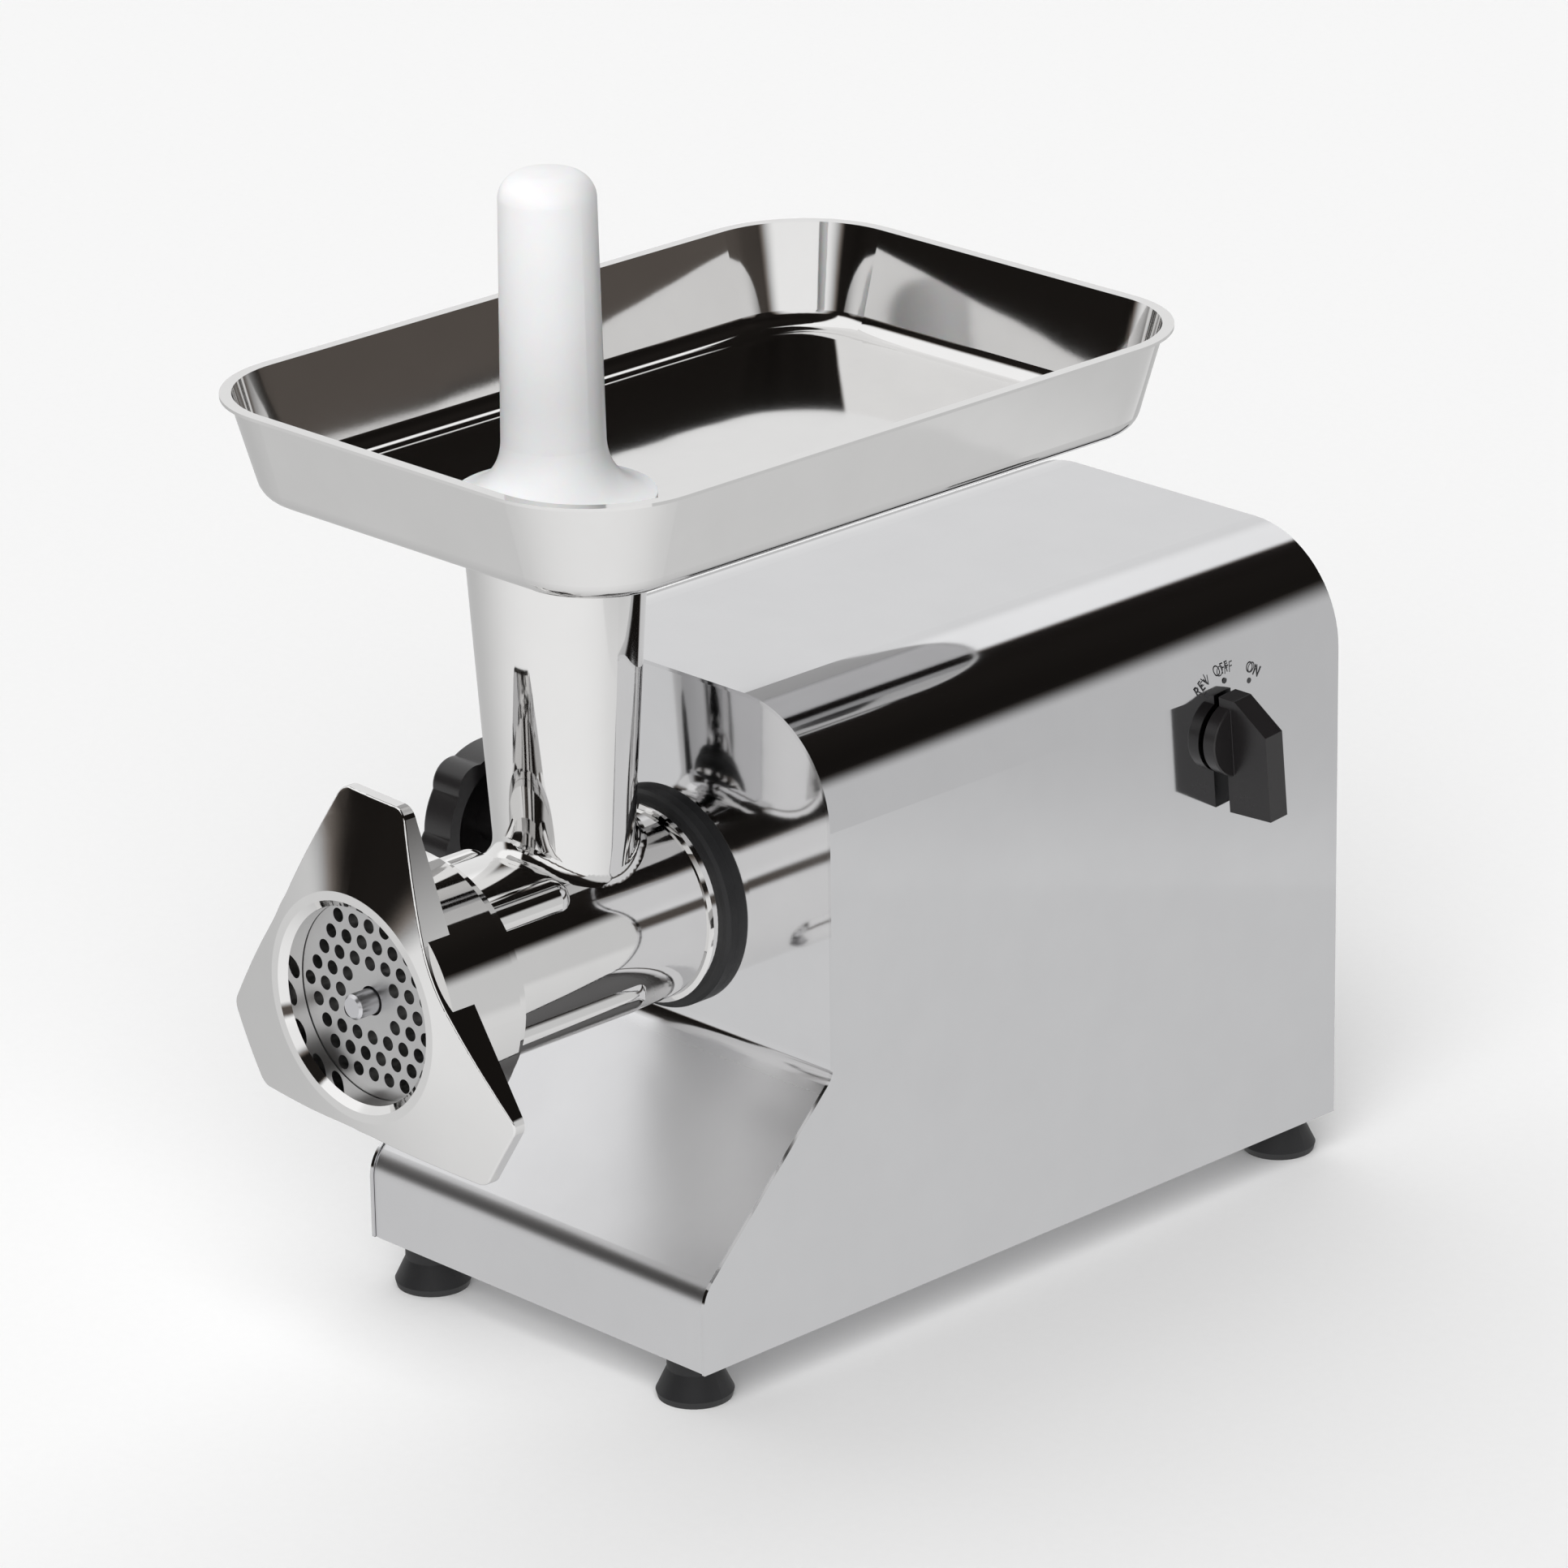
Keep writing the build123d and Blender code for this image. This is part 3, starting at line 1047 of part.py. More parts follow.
pieces = {
    "housing_wrap": housing_wrap,
    "front_cover": front_cover,
    "rear_cover": rear_cover,
    "base_plate": base_plate,
    "feet": feet,
    "foot_screws": foot_screws,
    "foot_nuts": foot_nuts,
    "grinder_head": grinder_head,
    "head_gasket": head_gasket,
    "ring_nut": ring_nut,
    "cutting_plate": cutting_plate,
    "cross_knife": cross_knife,
    "auger": auger,
    "auger_stud": auger_stud,
    "auger_washer": auger_washer,
    "feed_tray": feed_tray,
    "pusher": pusher,
    "clamp_knob": clamp_knob,
    "clamp_screw": clamp_screw,
    "switch_knob": switch_knob,
    "switch_spindle": switch_spindle,
    "switch_body": switch_body,
    "gearbox_case": gearbox_case,
    "gearbox_cover": gearbox_cover,
    "gearbox_screws": gearbox_screws,
    "case_foot_screws": case_foot_screws,
    "shaft_seal": shaft_seal,
    "output_bearings": output_bearings,
    "layshaft_bearings": layshaft_bearings,
    "output_shaft": output_shaft,
    "output_gear": output_gear,
    "layshaft": layshaft,
    "layshaft_gear": layshaft_gear,
    "layshaft_pinion": layshaft_pinion,
    "motor_shaft": motor_shaft,
    "motor_pinion": motor_pinion,
    "rotor": rotor,
    "stator": stator,
    "windings": windings,
    "motor_front_bell": motor_front_bell,
    "motor_rear_bell": motor_rear_bell,
    "motor_bearings": motor_bearings,
    "motor_bolts": motor_bolts,
    "cooling_fan": cooling_fan,
    "run_capacitor": run_capacitor,
    "capacitor_clip": capacitor_clip,
    "capacitor_screw": capacitor_screw,
    "terminal_block": terminal_block,
    "mains_inlet": mains_inlet,
    "inlet_screws": inlet_screws,
    "rear_cover_screws": rear_cover_screws,
}

os.makedirs("parts", exist_ok=True)
for node, piece in pieces.items():
    piece.part.label = node
    export_step(piece.part, f"parts/{node}.step")
    print(node, len(piece.part.solids()), "solid(s)", round(piece.part.volume), "mm3")
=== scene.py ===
# %% [markdown]
# # An electric meat grinder
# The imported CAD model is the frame: every piece already has its size, its place and the body it
# moves with. Blender's part is the looks. Polished steel has next to no colour of its own, so it is
# drawn by what it mirrors, and the soft light of the studio matters as much as the materials.

# %% Load the frame
import json
import math

import bmesh
import bpy
from mathutils import Matrix, Vector


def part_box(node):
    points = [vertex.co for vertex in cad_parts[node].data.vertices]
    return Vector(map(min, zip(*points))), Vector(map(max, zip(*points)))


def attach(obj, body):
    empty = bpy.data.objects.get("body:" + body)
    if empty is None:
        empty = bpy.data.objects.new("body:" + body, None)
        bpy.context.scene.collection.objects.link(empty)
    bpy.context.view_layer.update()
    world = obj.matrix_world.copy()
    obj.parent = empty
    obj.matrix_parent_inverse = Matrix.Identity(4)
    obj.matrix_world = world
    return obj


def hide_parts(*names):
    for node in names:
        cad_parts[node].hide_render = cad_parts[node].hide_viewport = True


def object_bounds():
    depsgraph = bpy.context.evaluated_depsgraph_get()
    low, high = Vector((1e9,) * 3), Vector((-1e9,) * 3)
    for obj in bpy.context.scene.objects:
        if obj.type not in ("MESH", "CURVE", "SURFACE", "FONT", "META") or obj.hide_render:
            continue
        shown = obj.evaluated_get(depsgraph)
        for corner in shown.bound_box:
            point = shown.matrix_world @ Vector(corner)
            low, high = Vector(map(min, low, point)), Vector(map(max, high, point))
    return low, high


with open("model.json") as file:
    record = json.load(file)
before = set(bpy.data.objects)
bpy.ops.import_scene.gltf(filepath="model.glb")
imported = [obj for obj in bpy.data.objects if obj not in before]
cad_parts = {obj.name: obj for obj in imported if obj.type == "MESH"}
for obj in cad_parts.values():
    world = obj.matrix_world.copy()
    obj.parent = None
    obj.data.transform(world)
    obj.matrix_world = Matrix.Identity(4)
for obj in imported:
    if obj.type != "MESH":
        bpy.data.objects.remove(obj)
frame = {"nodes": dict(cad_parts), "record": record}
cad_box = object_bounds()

MM = 0.001
DIAGONAL = math.sqrt(0.5)  # both parts of a level direction halfway between two axes
record = frame["record"]
nodes = frame["nodes"]

# %% [markdown]
# ## Writing shader maths as sums
# A node tree is hard to read as a list of links. A socket wrapped in a small class can be added and
# multiplied like a number, and each sum adds its own Math node. Every other node comes from one
# method, which takes the node's type, its settings and the values of its sockets.

# %% Shader maths
class Wire:
    """The output of a node, which can be used in sums."""

    def __init__(self, nodes_of, socket):
        self.nodes_of, self.socket = nodes_of, socket

    def maths(self, operation, first, second):
        """A Math node."""
        return self.nodes_of.node("ShaderNodeMath", {"operation": operation}, {0: first, 1: second})

    def __add__(self, other):
        return self.maths("ADD", self, other)

    def __sub__(self, other):
        return self.maths("SUBTRACT", self, other)

    def __mul__(self, other):
        return self.maths("MULTIPLY", self, other)

    def __rsub__(self, other):
        return self.maths("SUBTRACT", other, self)

    __radd__ = __add__
    __rmul__ = __mul__


class Nodes:
    """A node tree being built."""

    def __init__(self, tree):
        self.tree = tree

    def node(self, kind, settings=None, inputs=None, output=0):
        """Adds any node: settings first, then the values or links of its sockets."""
        made = self.tree.nodes.new(kind)
        for name, value in (settings or {}).items():
            setattr(made, name, value)
        for name, value in (inputs or {}).items():
            self.feed(made.inputs[name], value)
        return Wire(self, made.outputs[output])

    def feed(self, socket, value):
        """Links a wire to a socket, or sets the socket's own value."""
        if isinstance(value, Wire):
            self.tree.links.new(value.socket, socket)
        else:
            socket.default_value = value

    def axes(self, place):
        """The X, Y and Z of a place or a direction."""
        split = self.node("ShaderNodeSeparateXYZ", None, {0: place}).socket.node
        return [Wire(self, output) for output in split.outputs]

    def blend(self, factor, first, second):
        """Mixes two colours."""
        return self.node("ShaderNodeMix", {"data_type": "RGBA"},
                         {"Factor": factor, 6: first, 7: second}, output=2)

    def smooth(self, value, low, high):
        """0 below low, 1 above high, and a soft ramp between."""
        settings = {"interpolation_type": "SMOOTHSTEP"}
        return self.node("ShaderNodeMapRange", settings, {"Value": value, 1: low, 2: high})

    def noise(self, place, stretch, detail=2.0, roughness=0.5):
        """Cloudy noise; stretch is how many features fit in a metre along X, Y and Z."""
        scaled = self.node("ShaderNodeMapping", None, {"Vector": place, "Scale": stretch})
        inputs = {"Vector": scaled, "Scale": 1.0, "Detail": detail, "Roughness": roughness}
        return self.node("ShaderNodeTexNoise", None, inputs)


def rgb(red, green, blue):
    """A colour with its alpha."""
    return (red, green, blue, 1.0)


class Finish(Nodes):
    """A material being made, with its shader and the object's own coordinates ready."""

    def __init__(self, name, **constants):
        self.material = bpy.data.materials.new(name)
        self.material.use_nodes = True
        super().__init__(self.material.node_tree)
        self.shader = self.tree.nodes["Principled BSDF"]
        self.place = self.node("ShaderNodeTexCoord", output=3)
        for socket, value in constants.items():
            self.shader.inputs[socket.replace("_", " ")].default_value = value

    def set(self, socket, value):
        """Feeds one socket of the shader."""
        self.feed(self.shader.inputs[socket], value)

    def bump(self, height, strength, depth, under=None):
        """A Bump node over another, with its depth in metres."""
        inputs = {"Height": height, "Strength": strength, "Distance": depth}
        if under is not None:
            inputs["Normal"] = under
        return self.node("ShaderNodeBump", None, inputs)


NOISE_MIDDLE = 0.5  # what a noise texture averages
print("shader tools ready")

# %% [markdown]
# ## Stainless steel, from brushed to mirror
# The housing was ground with a fine belt along its length and then buffed, so it has hair-thin
# lines in one direction and a soft reflection. The tray, throat, barrel and ring nut were polished
# on wheels until they mirror, and only faint swirls and a slight waviness of the sheet are left.
# One function makes every steel: a noise stretched along the grain varies the roughness and lifts
# the surface a little, and a slow noise gives the waviness that bends the reflections. The front
# cover is duller below a certain height, where the polishing stops.

# %% Steel finishes
SMEARS = (34.0, 34.0, 34.0)
SMEAR_SHARE = 0.6  # how much of the spread of the roughness the smears get
GRAIN_STRENGTH = 0.35
SATIN_ROUGHNESS = 0.22
SATIN_EDGE = 4 * MM


def steel(name, light, dark, roughness, spread, grain, grain_depth, wave_depth, wave_size=50 * MM,
          satin_below=None):
    """A steel whose grain is a noise stretched by grain, in features for each metre."""
    finish = Finish(name, Metallic=1.0)
    lines = finish.noise(finish.place, grain, detail=3.0, roughness=0.6)
    clouds = finish.noise(finish.place, (1 / wave_size,) * 3, detail=1.0)
    smears = finish.noise(finish.place, SMEARS, detail=4.0, roughness=0.62)
    finish.set("Base Color", finish.blend(smears, rgb(*light), rgb(*dark)))
    worn = roughness + spread * (lines - NOISE_MIDDLE)
    worn = worn + SMEAR_SHARE * spread * (smears - NOISE_MIDDLE)
    if satin_below is not None:
        height = finish.axes(finish.place)[2]
        satin = 1 - finish.smooth(height, satin_below - SATIN_EDGE, satin_below + SATIN_EDGE)
        worn = worn + SATIN_ROUGHNESS * satin
    finish.set("Roughness", worn)
    waviness = finish.bump(clouds, 1.0, wave_depth)
    finish.set("Normal", finish.bump(lines, GRAIN_STRENGTH, grain_depth, waviness))
    return finish.material


ALONG_Y = (2600.0, 14.0, 2600.0)
ALONG_Z = (2600.0, 2600.0, 14.0)
SWIRLS = (900.0, 900.0, 900.0)
FINE_GRAIN, COARSE_GRAIN = 0.002 * MM, 0.02 * MM
NO_WAVES = 0.01 * MM
brushed_housing = steel("brushed_housing_steel", (0.68, 0.68, 0.69), (0.63, 0.63, 0.64),
                        roughness=0.075, spread=0.03, grain=ALONG_Y,
                        grain_depth=0.003 * MM, wave_depth=0.04 * MM, wave_size=80 * MM)
polished_cover = steel("polished_cover_steel", (0.72, 0.72, 0.73), (0.66, 0.66, 0.67),
                       roughness=0.07, spread=0.03, grain=ALONG_Z,
                       grain_depth=0.004 * MM, wave_depth=0.06 * MM, satin_below=93 * MM)
polished_tray = steel("polished_tray_steel", (0.78, 0.775, 0.77), (0.72, 0.715, 0.71),
                      roughness=0.06, spread=0.03, grain=SWIRLS,
                      grain_depth=FINE_GRAIN, wave_depth=0.12 * MM, wave_size=35 * MM)
mirror_head = steel("mirror_head_steel", (0.80, 0.795, 0.79), (0.75, 0.745, 0.74),
                    roughness=0.045, spread=0.03, grain=SWIRLS,
                    grain_depth=FINE_GRAIN, wave_depth=0.06 * MM, wave_size=30 * MM)
ground_plate = steel("ground_plate_steel", (0.60, 0.60, 0.60), (0.52, 0.52, 0.52),
                     roughness=0.34, spread=0.10, grain=(1500.0, 500.0, 1500.0),
                     grain_depth=COARSE_GRAIN, wave_depth=NO_WAVES)
machined_steel = steel("machined_tool_steel", (0.58, 0.57, 0.56), (0.50, 0.49, 0.48),
                       roughness=0.28, spread=0.10, grain=(700.0, 3000.0, 700.0),
                       grain_depth=COARSE_GRAIN, wave_depth=NO_WAVES)
zinc_plate = steel("zinc_plated_steel", (0.70, 0.70, 0.72), (0.60, 0.60, 0.62),
                   roughness=0.30, spread=0.12, grain=(1200.0, 1200.0, 1200.0),
                   grain_depth=COARSE_GRAIN, wave_depth=NO_WAVES)
print("steel finishes made")

# %% [markdown]
# ## Plastics, rubber and castings
# Moulded plastic has a fine spark-eroded texture and is a little smoother where fingers rub it. The
# white pusher is food-grade polyethylene, which lets some light in below its skin. Rubber is
# duller, and cast aluminium is pale, rough and grainy.

# %% Moulded and cast finishes
RUBBED = (60.0, 60.0, 60.0)
PORE_STRENGTH = 0.5


def moulded(name, light, dark, roughness, spread, pores, depth, **constants):
    """A moulded or cast surface with fine pores, in features for each metre."""
    finish = Finish(name, **constants)
    texture = finish.noise(finish.place, (pores,) * 3, detail=3.0)
    clouds = finish.noise(finish.place, RUBBED, detail=3.0)
    finish.set("Base Color", finish.blend(clouds, rgb(*light), rgb(*dark)))
    finish.set("Roughness", roughness + spread * (clouds - NOISE_MIDDLE))
    finish.set("Normal", finish.bump(texture, PORE_STRENGTH, depth))
    return finish.material


black_knob_plastic = moulded("black_knob_plastic", (0.015, 0.0135, 0.014), (0.010, 0.009, 0.0095),
                             roughness=0.30, spread=0.16, pores=2600.0, depth=0.06 * MM)
black_rubber = moulded("black_rubber", (0.014, 0.014, 0.015), (0.008, 0.008, 0.009),
                       roughness=0.52, spread=0.20, pores=1400.0, depth=0.08 * MM)
white_pusher_plastic = moulded("white_pusher_plastic", (0.86, 0.865, 0.875), (0.83, 0.835, 0.845),
                               roughness=0.34, spread=0.10, pores=900.0, depth=0.03 * MM,
                               Subsurface_Weight=0.25, Subsurface_Scale=4 * MM)
cast_aluminium = moulded("cast_aluminium", (0.62, 0.63, 0.64), (0.50, 0.51, 0.52),
                         roughness=0.48, spread=0.15, pores=1100.0, depth=0.15 * MM, Metallic=1.0)
motor_iron = moulded("motor_iron", (0.20, 0.20, 0.21), (0.13, 0.13, 0.14),
                     roughness=0.50, spread=0.15, pores=1500.0, depth=0.1 * MM, Metallic=0.8)
copper_winding = moulded("copper_winding", (0.66, 0.30, 0.14), (0.50, 0.20, 0.09),
                         roughness=0.35, spread=0.15, pores=1500.0, depth=0.2 * MM, Metallic=0.9)
fibre_washer = moulded("fibre_washer", (0.42, 0.39, 0.33), (0.33, 0.30, 0.25),
                       roughness=0.62, spread=0.15, pores=1300.0, depth=0.1 * MM)
capacitor_can = moulded("capacitor_can", (0.80, 0.80, 0.77), (0.74, 0.74, 0.71),
                        roughness=0.35, spread=0.10, pores=1200.0, depth=0.04 * MM)
print("moulded and cast finishes made")

# %% [markdown]
# ## A finish for every piece
# The record names a material slot for each piece. Each slot has one finish, and three pieces
# differ from the rest of their slot: the front cover, the tray and the stud of the auger.

# %% Which finish goes on which slot of the record
finish_of_slot = {
    "steel_sides": brushed_housing,
    "polished_steel": mirror_head,
    "plate_steel": ground_plate,
    "tool_steel": machined_steel,
    "black_rubber": black_rubber,
    "black_plastic": black_knob_plastic,
    "white_plastic": white_pusher_plastic,
    "grey_washer": fibre_washer,
    "cast_aluminium": cast_aluminium,
    "motor_iron": motor_iron,
    "copper_wire": copper_winding,
    "zinc_screws": zinc_plate,
    "capacitor_white": capacitor_can,
}
finish_of_node = {
    "front_cover": polished_cover,
    "feed_tray": polished_tray,
    "auger_stud": zinc_plate,
}
slot_of_node = {part["node"]: part["material_slot"] for part in record["subparts"]}
body_of_node = {}
for body, members in record["behaviour"]["bodies"].items():
    body_of_node.update(dict.fromkeys(members, body))
for name, piece in nodes.items():
    material = finish_of_node.get(name, finish_of_slot[slot_of_node[name]])
    piece.data.materials.clear()
    piece.data.materials.append(material)
print("finishes set on", len(nodes), "nodes")

# %% [markdown]
# ## Eased edges
# No moulded edge is perfectly sharp, and the small rounds of the two black knobs catch a thin line
# of light. Each knob is drawn as a merged copy of its CAD node with a narrow Bevel, and weighted
# normals keep the flat faces flat in the reflections.

# %% Copies of CAD nodes with eased edges
SHARP_EDGE = math.radians(35.0)  # faces that meet more sharply than this have an edge
FLAT_ENOUGH = math.radians(0.4)  # faces that meet less sharply than this are joined
SAME_POINT = 0.004 * MM
NO_LENGTH = 0.002 * MM
BEVEL_STEPS = 3


def merged_copy(node):
    """The CAD node's surface as one closed mesh with its flat faces joined."""
    shape = bmesh.new()
    shape.from_mesh(nodes[node].data)
    bmesh.ops.remove_doubles(shape, verts=shape.verts, dist=SAME_POINT)
    bmesh.ops.dissolve_degenerate(shape, edges=shape.edges, dist=NO_LENGTH)
    bmesh.ops.dissolve_limit(shape, verts=shape.verts, edges=shape.edges, angle_limit=FLAT_ENOUGH)
    return shape


def mesh_object(name, shape, material):
    """Turns a bmesh into an object of the scene."""
    mesh = bpy.data.meshes.new(name)
    shape.to_mesh(mesh)
    shape.free()
    mesh.materials.append(material)
    made = bpy.data.objects.new(name, mesh)
    bpy.context.scene.collection.objects.link(made)
    return made


def place_piece(name, shape, body, finish):
    """A piece that rides on a body and has the finish it is given."""
    piece = mesh_object(name, shape, finish)
    piece.data.shade_smooth()
    piece.data.set_sharp_from_angle(angle=SHARP_EDGE)
    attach(piece, body)
    print(name, "has", len(piece.data.polygons), "faces and rides on", body)
    return piece


def ease(node, name, width):
    """Replaces a CAD node by a copy with its edges eased by width."""
    finish = nodes[node].data.materials[0]
    piece = place_piece(name, merged_copy(node), body_of_node[node], finish)
    bevel = piece.modifiers.new("eased_edges", "BEVEL")
    bevel.width = width
    bevel.segments = BEVEL_STEPS
    bevel.limit_method = "ANGLE"
    bevel.angle_limit = SHARP_EDGE
    flat = piece.modifiers.new("flat_faces", "WEIGHTED_NORMAL")
    flat.keep_sharp = True
    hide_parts(node)


ease("switch_knob", "switch_grip", 0.6 * MM)
ease("clamp_knob", "clamp_grip", 0.8 * MM)

# %% [markdown]
# ## The marks of the switch
# The three positions are printed in dark ink on an arc above the knob, each with a dot between the
# word and the spindle. They are flat text made into mesh and laid a hair above the steel.

# %% Switch marks
ink = moulded("printed_ink", (0.045, 0.045, 0.048), (0.030, 0.030, 0.033),
              roughness=0.5, spread=0.1, pores=1500.0, depth=0.02 * MM)
spindle_low, spindle_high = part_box("switch_spindle")
switch_axis = (spindle_low + spindle_high) / 2
wall_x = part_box("housing_wrap")[1].x
MARK_ANGLES = {"REV": -31.0, "OFF": -4.0, "ON": 33.0}  # degrees from upright, towards the back
TEXT_RADIUS = 20.6 * MM
TEXT_HEIGHT = 5.3 * MM
TEXT_SPACING = 1.12
NARROW = 0.74  # the letters are condensed
DOT_CENTRE = 18.4 * MM  # from the spindle's axis
DOT_RADIUS = 0.95 * MM
INK_LIFT = 0.03 * MM
INK_THICKNESS = 0.02 * MM


def on_side_wall(angle, radius):
    """A frame on the side wall at an angle from upright round the switch, towards the back."""
    turn = Matrix.Rotation(-math.radians(angle), 4, "Z") @ Matrix.Translation((0, radius, 0))
    stand = Matrix(((0, 0, 1, wall_x + INK_LIFT), (1, 0, 0, switch_axis.y),
                    (0, 1, 0, switch_axis.z), (0, 0, 0, 1)))
    return stand @ turn


def flat_word(word):
    """A word as a flat mesh at the origin."""
    letters = bpy.data.curves.new("letters", "FONT")
    letters.body = word
    letters.size = TEXT_HEIGHT
    letters.space_character = TEXT_SPACING
    letters.align_x = "CENTER"
    letters.resolution_u = 6
    holder = bpy.data.objects.new("letters", letters)
    bpy.context.scene.collection.objects.link(holder)
    bpy.context.view_layer.update()
    graph = bpy.context.evaluated_depsgraph_get()
    flat = bpy.data.meshes.new_from_object(holder.evaluated_get(graph))
    bpy.data.objects.remove(holder)
    return flat


def printed_word(word, angle):
    """A word on the arc, as a thin mesh, with its dot below."""
    shape = bmesh.new()
    shape.from_mesh(flat_word(word))
    narrow = Matrix.Diagonal((NARROW, 1.0, 1.0, 1.0))
    bmesh.ops.transform(shape, matrix=on_side_wall(angle, TEXT_RADIUS) @ narrow, verts=shape.verts)
    bmesh.ops.create_circle(shape, cap_ends=True, segments=20, radius=DOT_RADIUS,
                            matrix=on_side_wall(angle, DOT_CENTRE))
    bmesh.ops.solidify(shape, geom=shape.faces[:], thickness=-INK_THICKNESS)
    bmesh.ops.recalc_face_normals(shape, faces=shape.faces)
    place_piece("mark_" + word.lower(), shape, "base_body", ink)


for word, angle in MARK_ANGLES.items():
    printed_word(word, angle)

# %% [markdown]
# ## The floor
# The object stands on a plain white table. The floor is hidden from mirrors, which see the world's
# table instead, so that the steel shows the same table in every direction.

# %% Floor
FLOOR_HALF = 9.0


def stage_sheet(name, shape, material, hidden_from):
    """A sheet of the studio, hidden from the kinds of ray that are named."""
    sheet = mesh_object(name, shape, material)
    for ray in hidden_from:
        setattr(sheet, "visible_" + ray, False)


def make_floor():
    """A wide pale floor."""
    pale = Finish("pale_floor", Roughness=0.9)
    fine = pale.noise(pale.place, (300.0, 300.0, 300.0))
    pale.set("Base Color", pale.blend(fine, rgb(0.93, 0.93, 0.93), rgb(0.91, 0.91, 0.91)))
    shape = bmesh.new()
    bmesh.ops.create_grid(shape, x_segments=1, y_segments=1, size=FLOOR_HALF)
    stage_sheet("studio_floor", shape, pale.material, ("glossy",))


make_floor()
print("floor laid")

# %% [markdown]
# ## The room
# The world is drawn by direction. Below lies the white table. On the left hang a wide softbox and,
# behind the object, a white wall. A window lies low on the camera's side, and the rest of the room
# is dark. Polished steel shows them all: white where it faces the table, the wall, the softbox or
# the window, and near black where it faces the room. The dark parts have a little warmth.

# %% World
TABLE_NEAR, TABLE_FAR, WALL_LIGHT, SOFTBOX_LIGHT = 1.0, 0.56, 0.90, 1.12
WINDOW_LIGHT, ROOM_LIGHT, LOW_ROOM_LIGHT, SEEN_LIGHT = 1.0, 0.012, 0.09, 1.0
GLOOM_LOW, GLOOM_SPREAD = 0.4, 1.2  # the dark room is cloudy
WHITE, WARM = rgb(1.0, 1.0, 1.0), rgb(1.0, 0.86, 0.76)

# Each edge is soft. It starts at the first number and ends at the second, along one part of a
# direction of length 1.
TABLE_EDGE = (-0.09, 0.01)
TABLE_FADE = (-0.95, 0.95)
WALL_EDGE = (0.10, 0.40)
SOFTBOX_EDGE = (0.45, 0.60)
DARK_SIDE_EDGE = (-0.14, -0.06)
WINDOW_SIDES, WINDOW_FOOT, WINDOW_HEAD = (-0.86, -0.66), (0.08, 0.16), (0.48, 0.58)
LOW_ROOM_SIDE, LOW_ROOM_TOP = (0.2, 0.6), (0.10, 0.30)
WARM_TO_WHITE = (0.05, 0.5)

world = bpy.data.worlds.new("studio_world")
world.use_nodes = True
bpy.context.scene.world = world
room = Nodes(world.node_tree)
direction = room.node("ShaderNodeTexCoord", output=0)
x, y, z = room.axes(direction)
backwards = DIAGONAL * y - DIAGONAL * x  # along the level line from the camera's side to the wall
table = 1 - room.smooth(z, *TABLE_EDGE)
table_light = TABLE_NEAR + (TABLE_FAR - TABLE_NEAR) * room.smooth(backwards, *TABLE_FADE)
wall = room.smooth(backwards, *WALL_EDGE)
softbox = room.smooth(z, *SOFTBOX_EDGE)
bright_side = (1 - table) * (1 - room.smooth(x, *DARK_SIDE_EDGE))
upper = bright_side * (softbox * SOFTBOX_LIGHT + (1 - softbox) * wall * WALL_LIGHT)
window = (1 - room.smooth(backwards, *WINDOW_SIDES)) * room.smooth(z, *WINDOW_FOOT)
window = window * (1 - room.smooth(z, *WINDOW_HEAD)) * WINDOW_LIGHT
low_room = room.smooth(x, *LOW_ROOM_SIDE) * (1 - room.smooth(z, *LOW_ROOM_TOP))
cloudy = GLOOM_LOW + GLOOM_SPREAD * room.noise(direction, (2.2, 2.2, 2.2), detail=1.0)
gloom = (ROOM_LIGHT + LOW_ROOM_LIGHT * low_room) * cloudy
level_of_light = table * table_light + upper + window + (1 - table) * gloom
seen = room.node("ShaderNodeLightPath", output=0)  # 1 where the camera itself sees the world
tint = room.blend(room.smooth(level_of_light, *WARM_TO_WHITE), WARM, WHITE)
background = world.node_tree.nodes["Background"]
room.feed(background.inputs["Color"], room.blend(seen, tint, WHITE))
room.feed(background.inputs["Strength"], level_of_light * (1 - seen) + seen * SEEN_LIGHT)
print("world drawn")

# %% [markdown]
# ## The card and the sun
# A white card stands behind the object on its right. Only mirrors see it: the housing's side wall
# shows it as a pale field with a soft upper edge. A wide soft sun adds the light that plain white
# things need, and mirrors don't see it.

# %% Card and sun
CARD_DISTANCE, CARD_HEIGHT, CARD_WIDTH = 0.414, 0.34, 1.0
CARD_FADE, CARD_FOOT = 0.085, 0.06  # heights over which the top fades and the foot darkens
CARD_LIGHT, CARD_FOOT_LIGHT = rgb(0.68, 0.68, 0.68), rgb(0.80, 0.80, 0.80)
CARD_TOP_LIGHT = rgb(0.03, 0.026, 0.023)


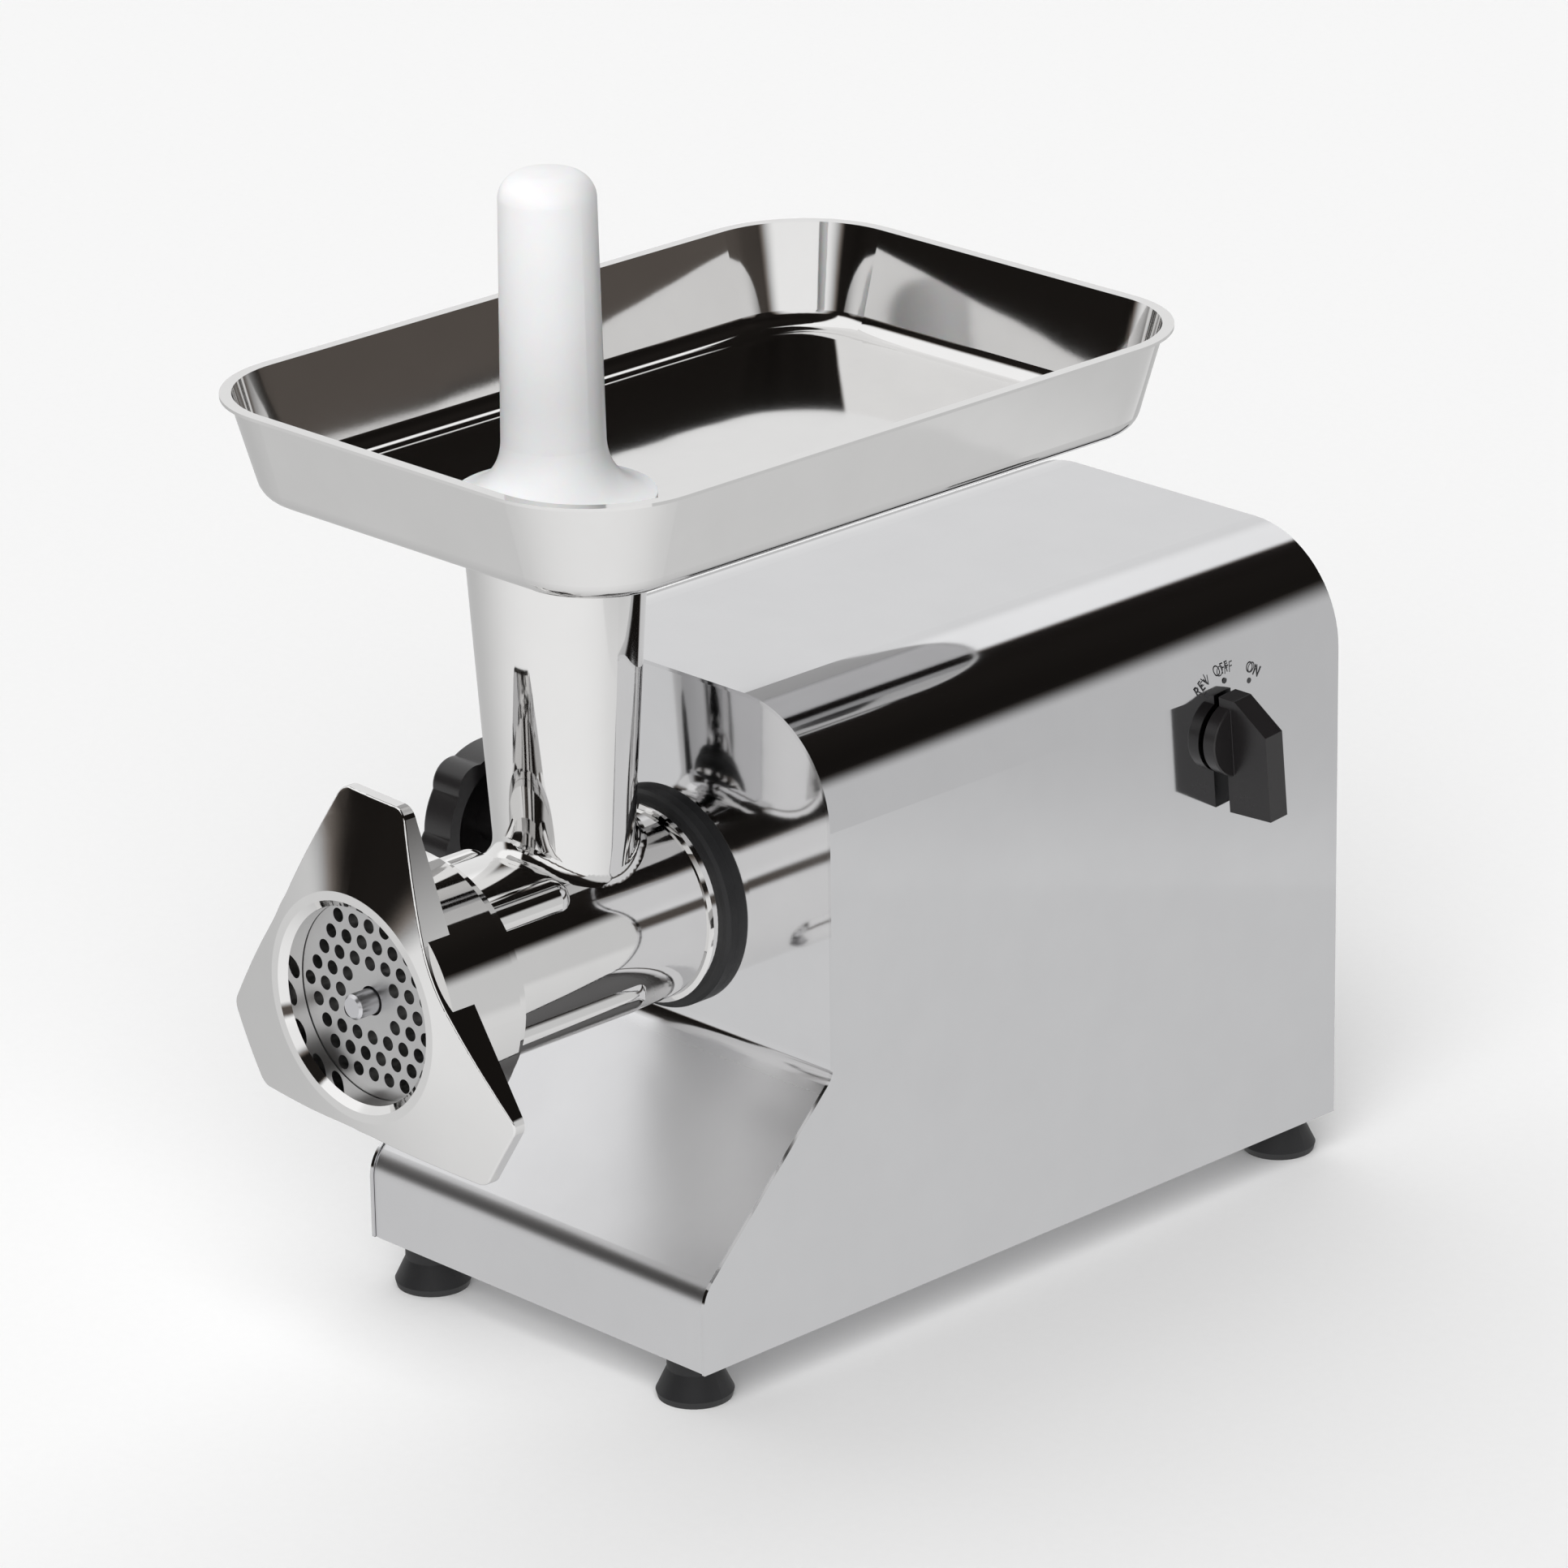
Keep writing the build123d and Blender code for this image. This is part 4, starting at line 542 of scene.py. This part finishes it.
def make_card():
    """A glowing card that faces the object."""
    glow = Finish("glowing_card", Roughness=1.0, Emission_Strength=1.0,
                  Base_Color=rgb(0.0, 0.0, 0.0), Specular_IOR_Level=0.0)
    height = glow.axes(glow.place)[2]
    light = glow.blend(glow.smooth(height, 0.0, CARD_FOOT), CARD_FOOT_LIGHT, CARD_LIGHT)
    fading = glow.smooth(height, CARD_HEIGHT - CARD_FADE, CARD_HEIGHT)
    glow.set("Emission Color", glow.blend(fading, light, CARD_TOP_LIGHT))
    shape = bmesh.new()
    bmesh.ops.create_grid(shape, x_segments=1, y_segments=1, size=0.5)
    bmesh.ops.scale(shape, vec=(CARD_WIDTH, CARD_HEIGHT, 1.0), verts=shape.verts)
    facing = Matrix(((-DIAGONAL, 0, -DIAGONAL, DIAGONAL * CARD_DISTANCE),
                     (DIAGONAL, 0, -DIAGONAL, DIAGONAL * CARD_DISTANCE),
                     (0, 1, 0, CARD_HEIGHT / 2), (0, 0, 0, 1)))
    bmesh.ops.transform(shape, matrix=facing, verts=shape.verts)
    stage_sheet("side_card", shape, glow.material, ("camera", "diffuse", "shadow"))


def make_sun():
    """The soft sun."""
    data = bpy.data.lights.new("soft_sun", "SUN")
    data.energy = 2.4
    data.angle = math.radians(50.0)
    sun = bpy.data.objects.new("soft_sun", data)
    sun.rotation_euler = (math.radians(45.0), 0.0, math.radians(40.0))
    sun.visible_glossy = False
    bpy.context.scene.collection.objects.link(sun)


make_card()
make_sun()
bpy.context.scene.view_settings.view_transform = "Standard"
print("studio lit")

# %% [markdown]
# ## The camera
# A long lens from well back keeps the lines of the housing almost parallel. The camera looks from
# the front right, about 21 degrees above the table, and is placed from the ring nut's face.

# %% Camera
AZIMUTH, ELEVATION, ROLL = math.radians(45.97), math.radians(20.66), math.radians(-0.91)
DISTANCE, RIGHTWARDS, UPWARDS = 2.4092, 0.1265, 0.19189
SENSOR, LENS = 36.0, 182.67
start = Vector((0, cad_box[0].y, 0))
back = Vector((math.sin(AZIMUTH) * math.cos(ELEVATION), -math.cos(AZIMUTH) * math.cos(ELEVATION),
               math.sin(ELEVATION)))
level = Vector((math.cos(AZIMUTH), math.sin(AZIMUTH), 0))
upright = back.cross(level)
right = math.cos(ROLL) * level + math.sin(ROLL) * upright
up = math.cos(ROLL) * upright - math.sin(ROLL) * level
camera_place = start + back * DISTANCE + right * RIGHTWARDS + up * UPWARDS
camera_turn = Matrix((right, up, back)).transposed().to_4x4()
camera_data = bpy.data.cameras.new("camera")
camera_data.sensor_width = SENSOR
camera_data.lens = LENS
camera = bpy.data.objects.new("camera", camera_data)
camera.matrix_world = Matrix.Translation(camera_place) @ camera_turn
bpy.context.scene.collection.objects.link(camera)
bpy.context.scene.camera = camera
print("camera at", tuple(round(v, 3) for v in camera_place))
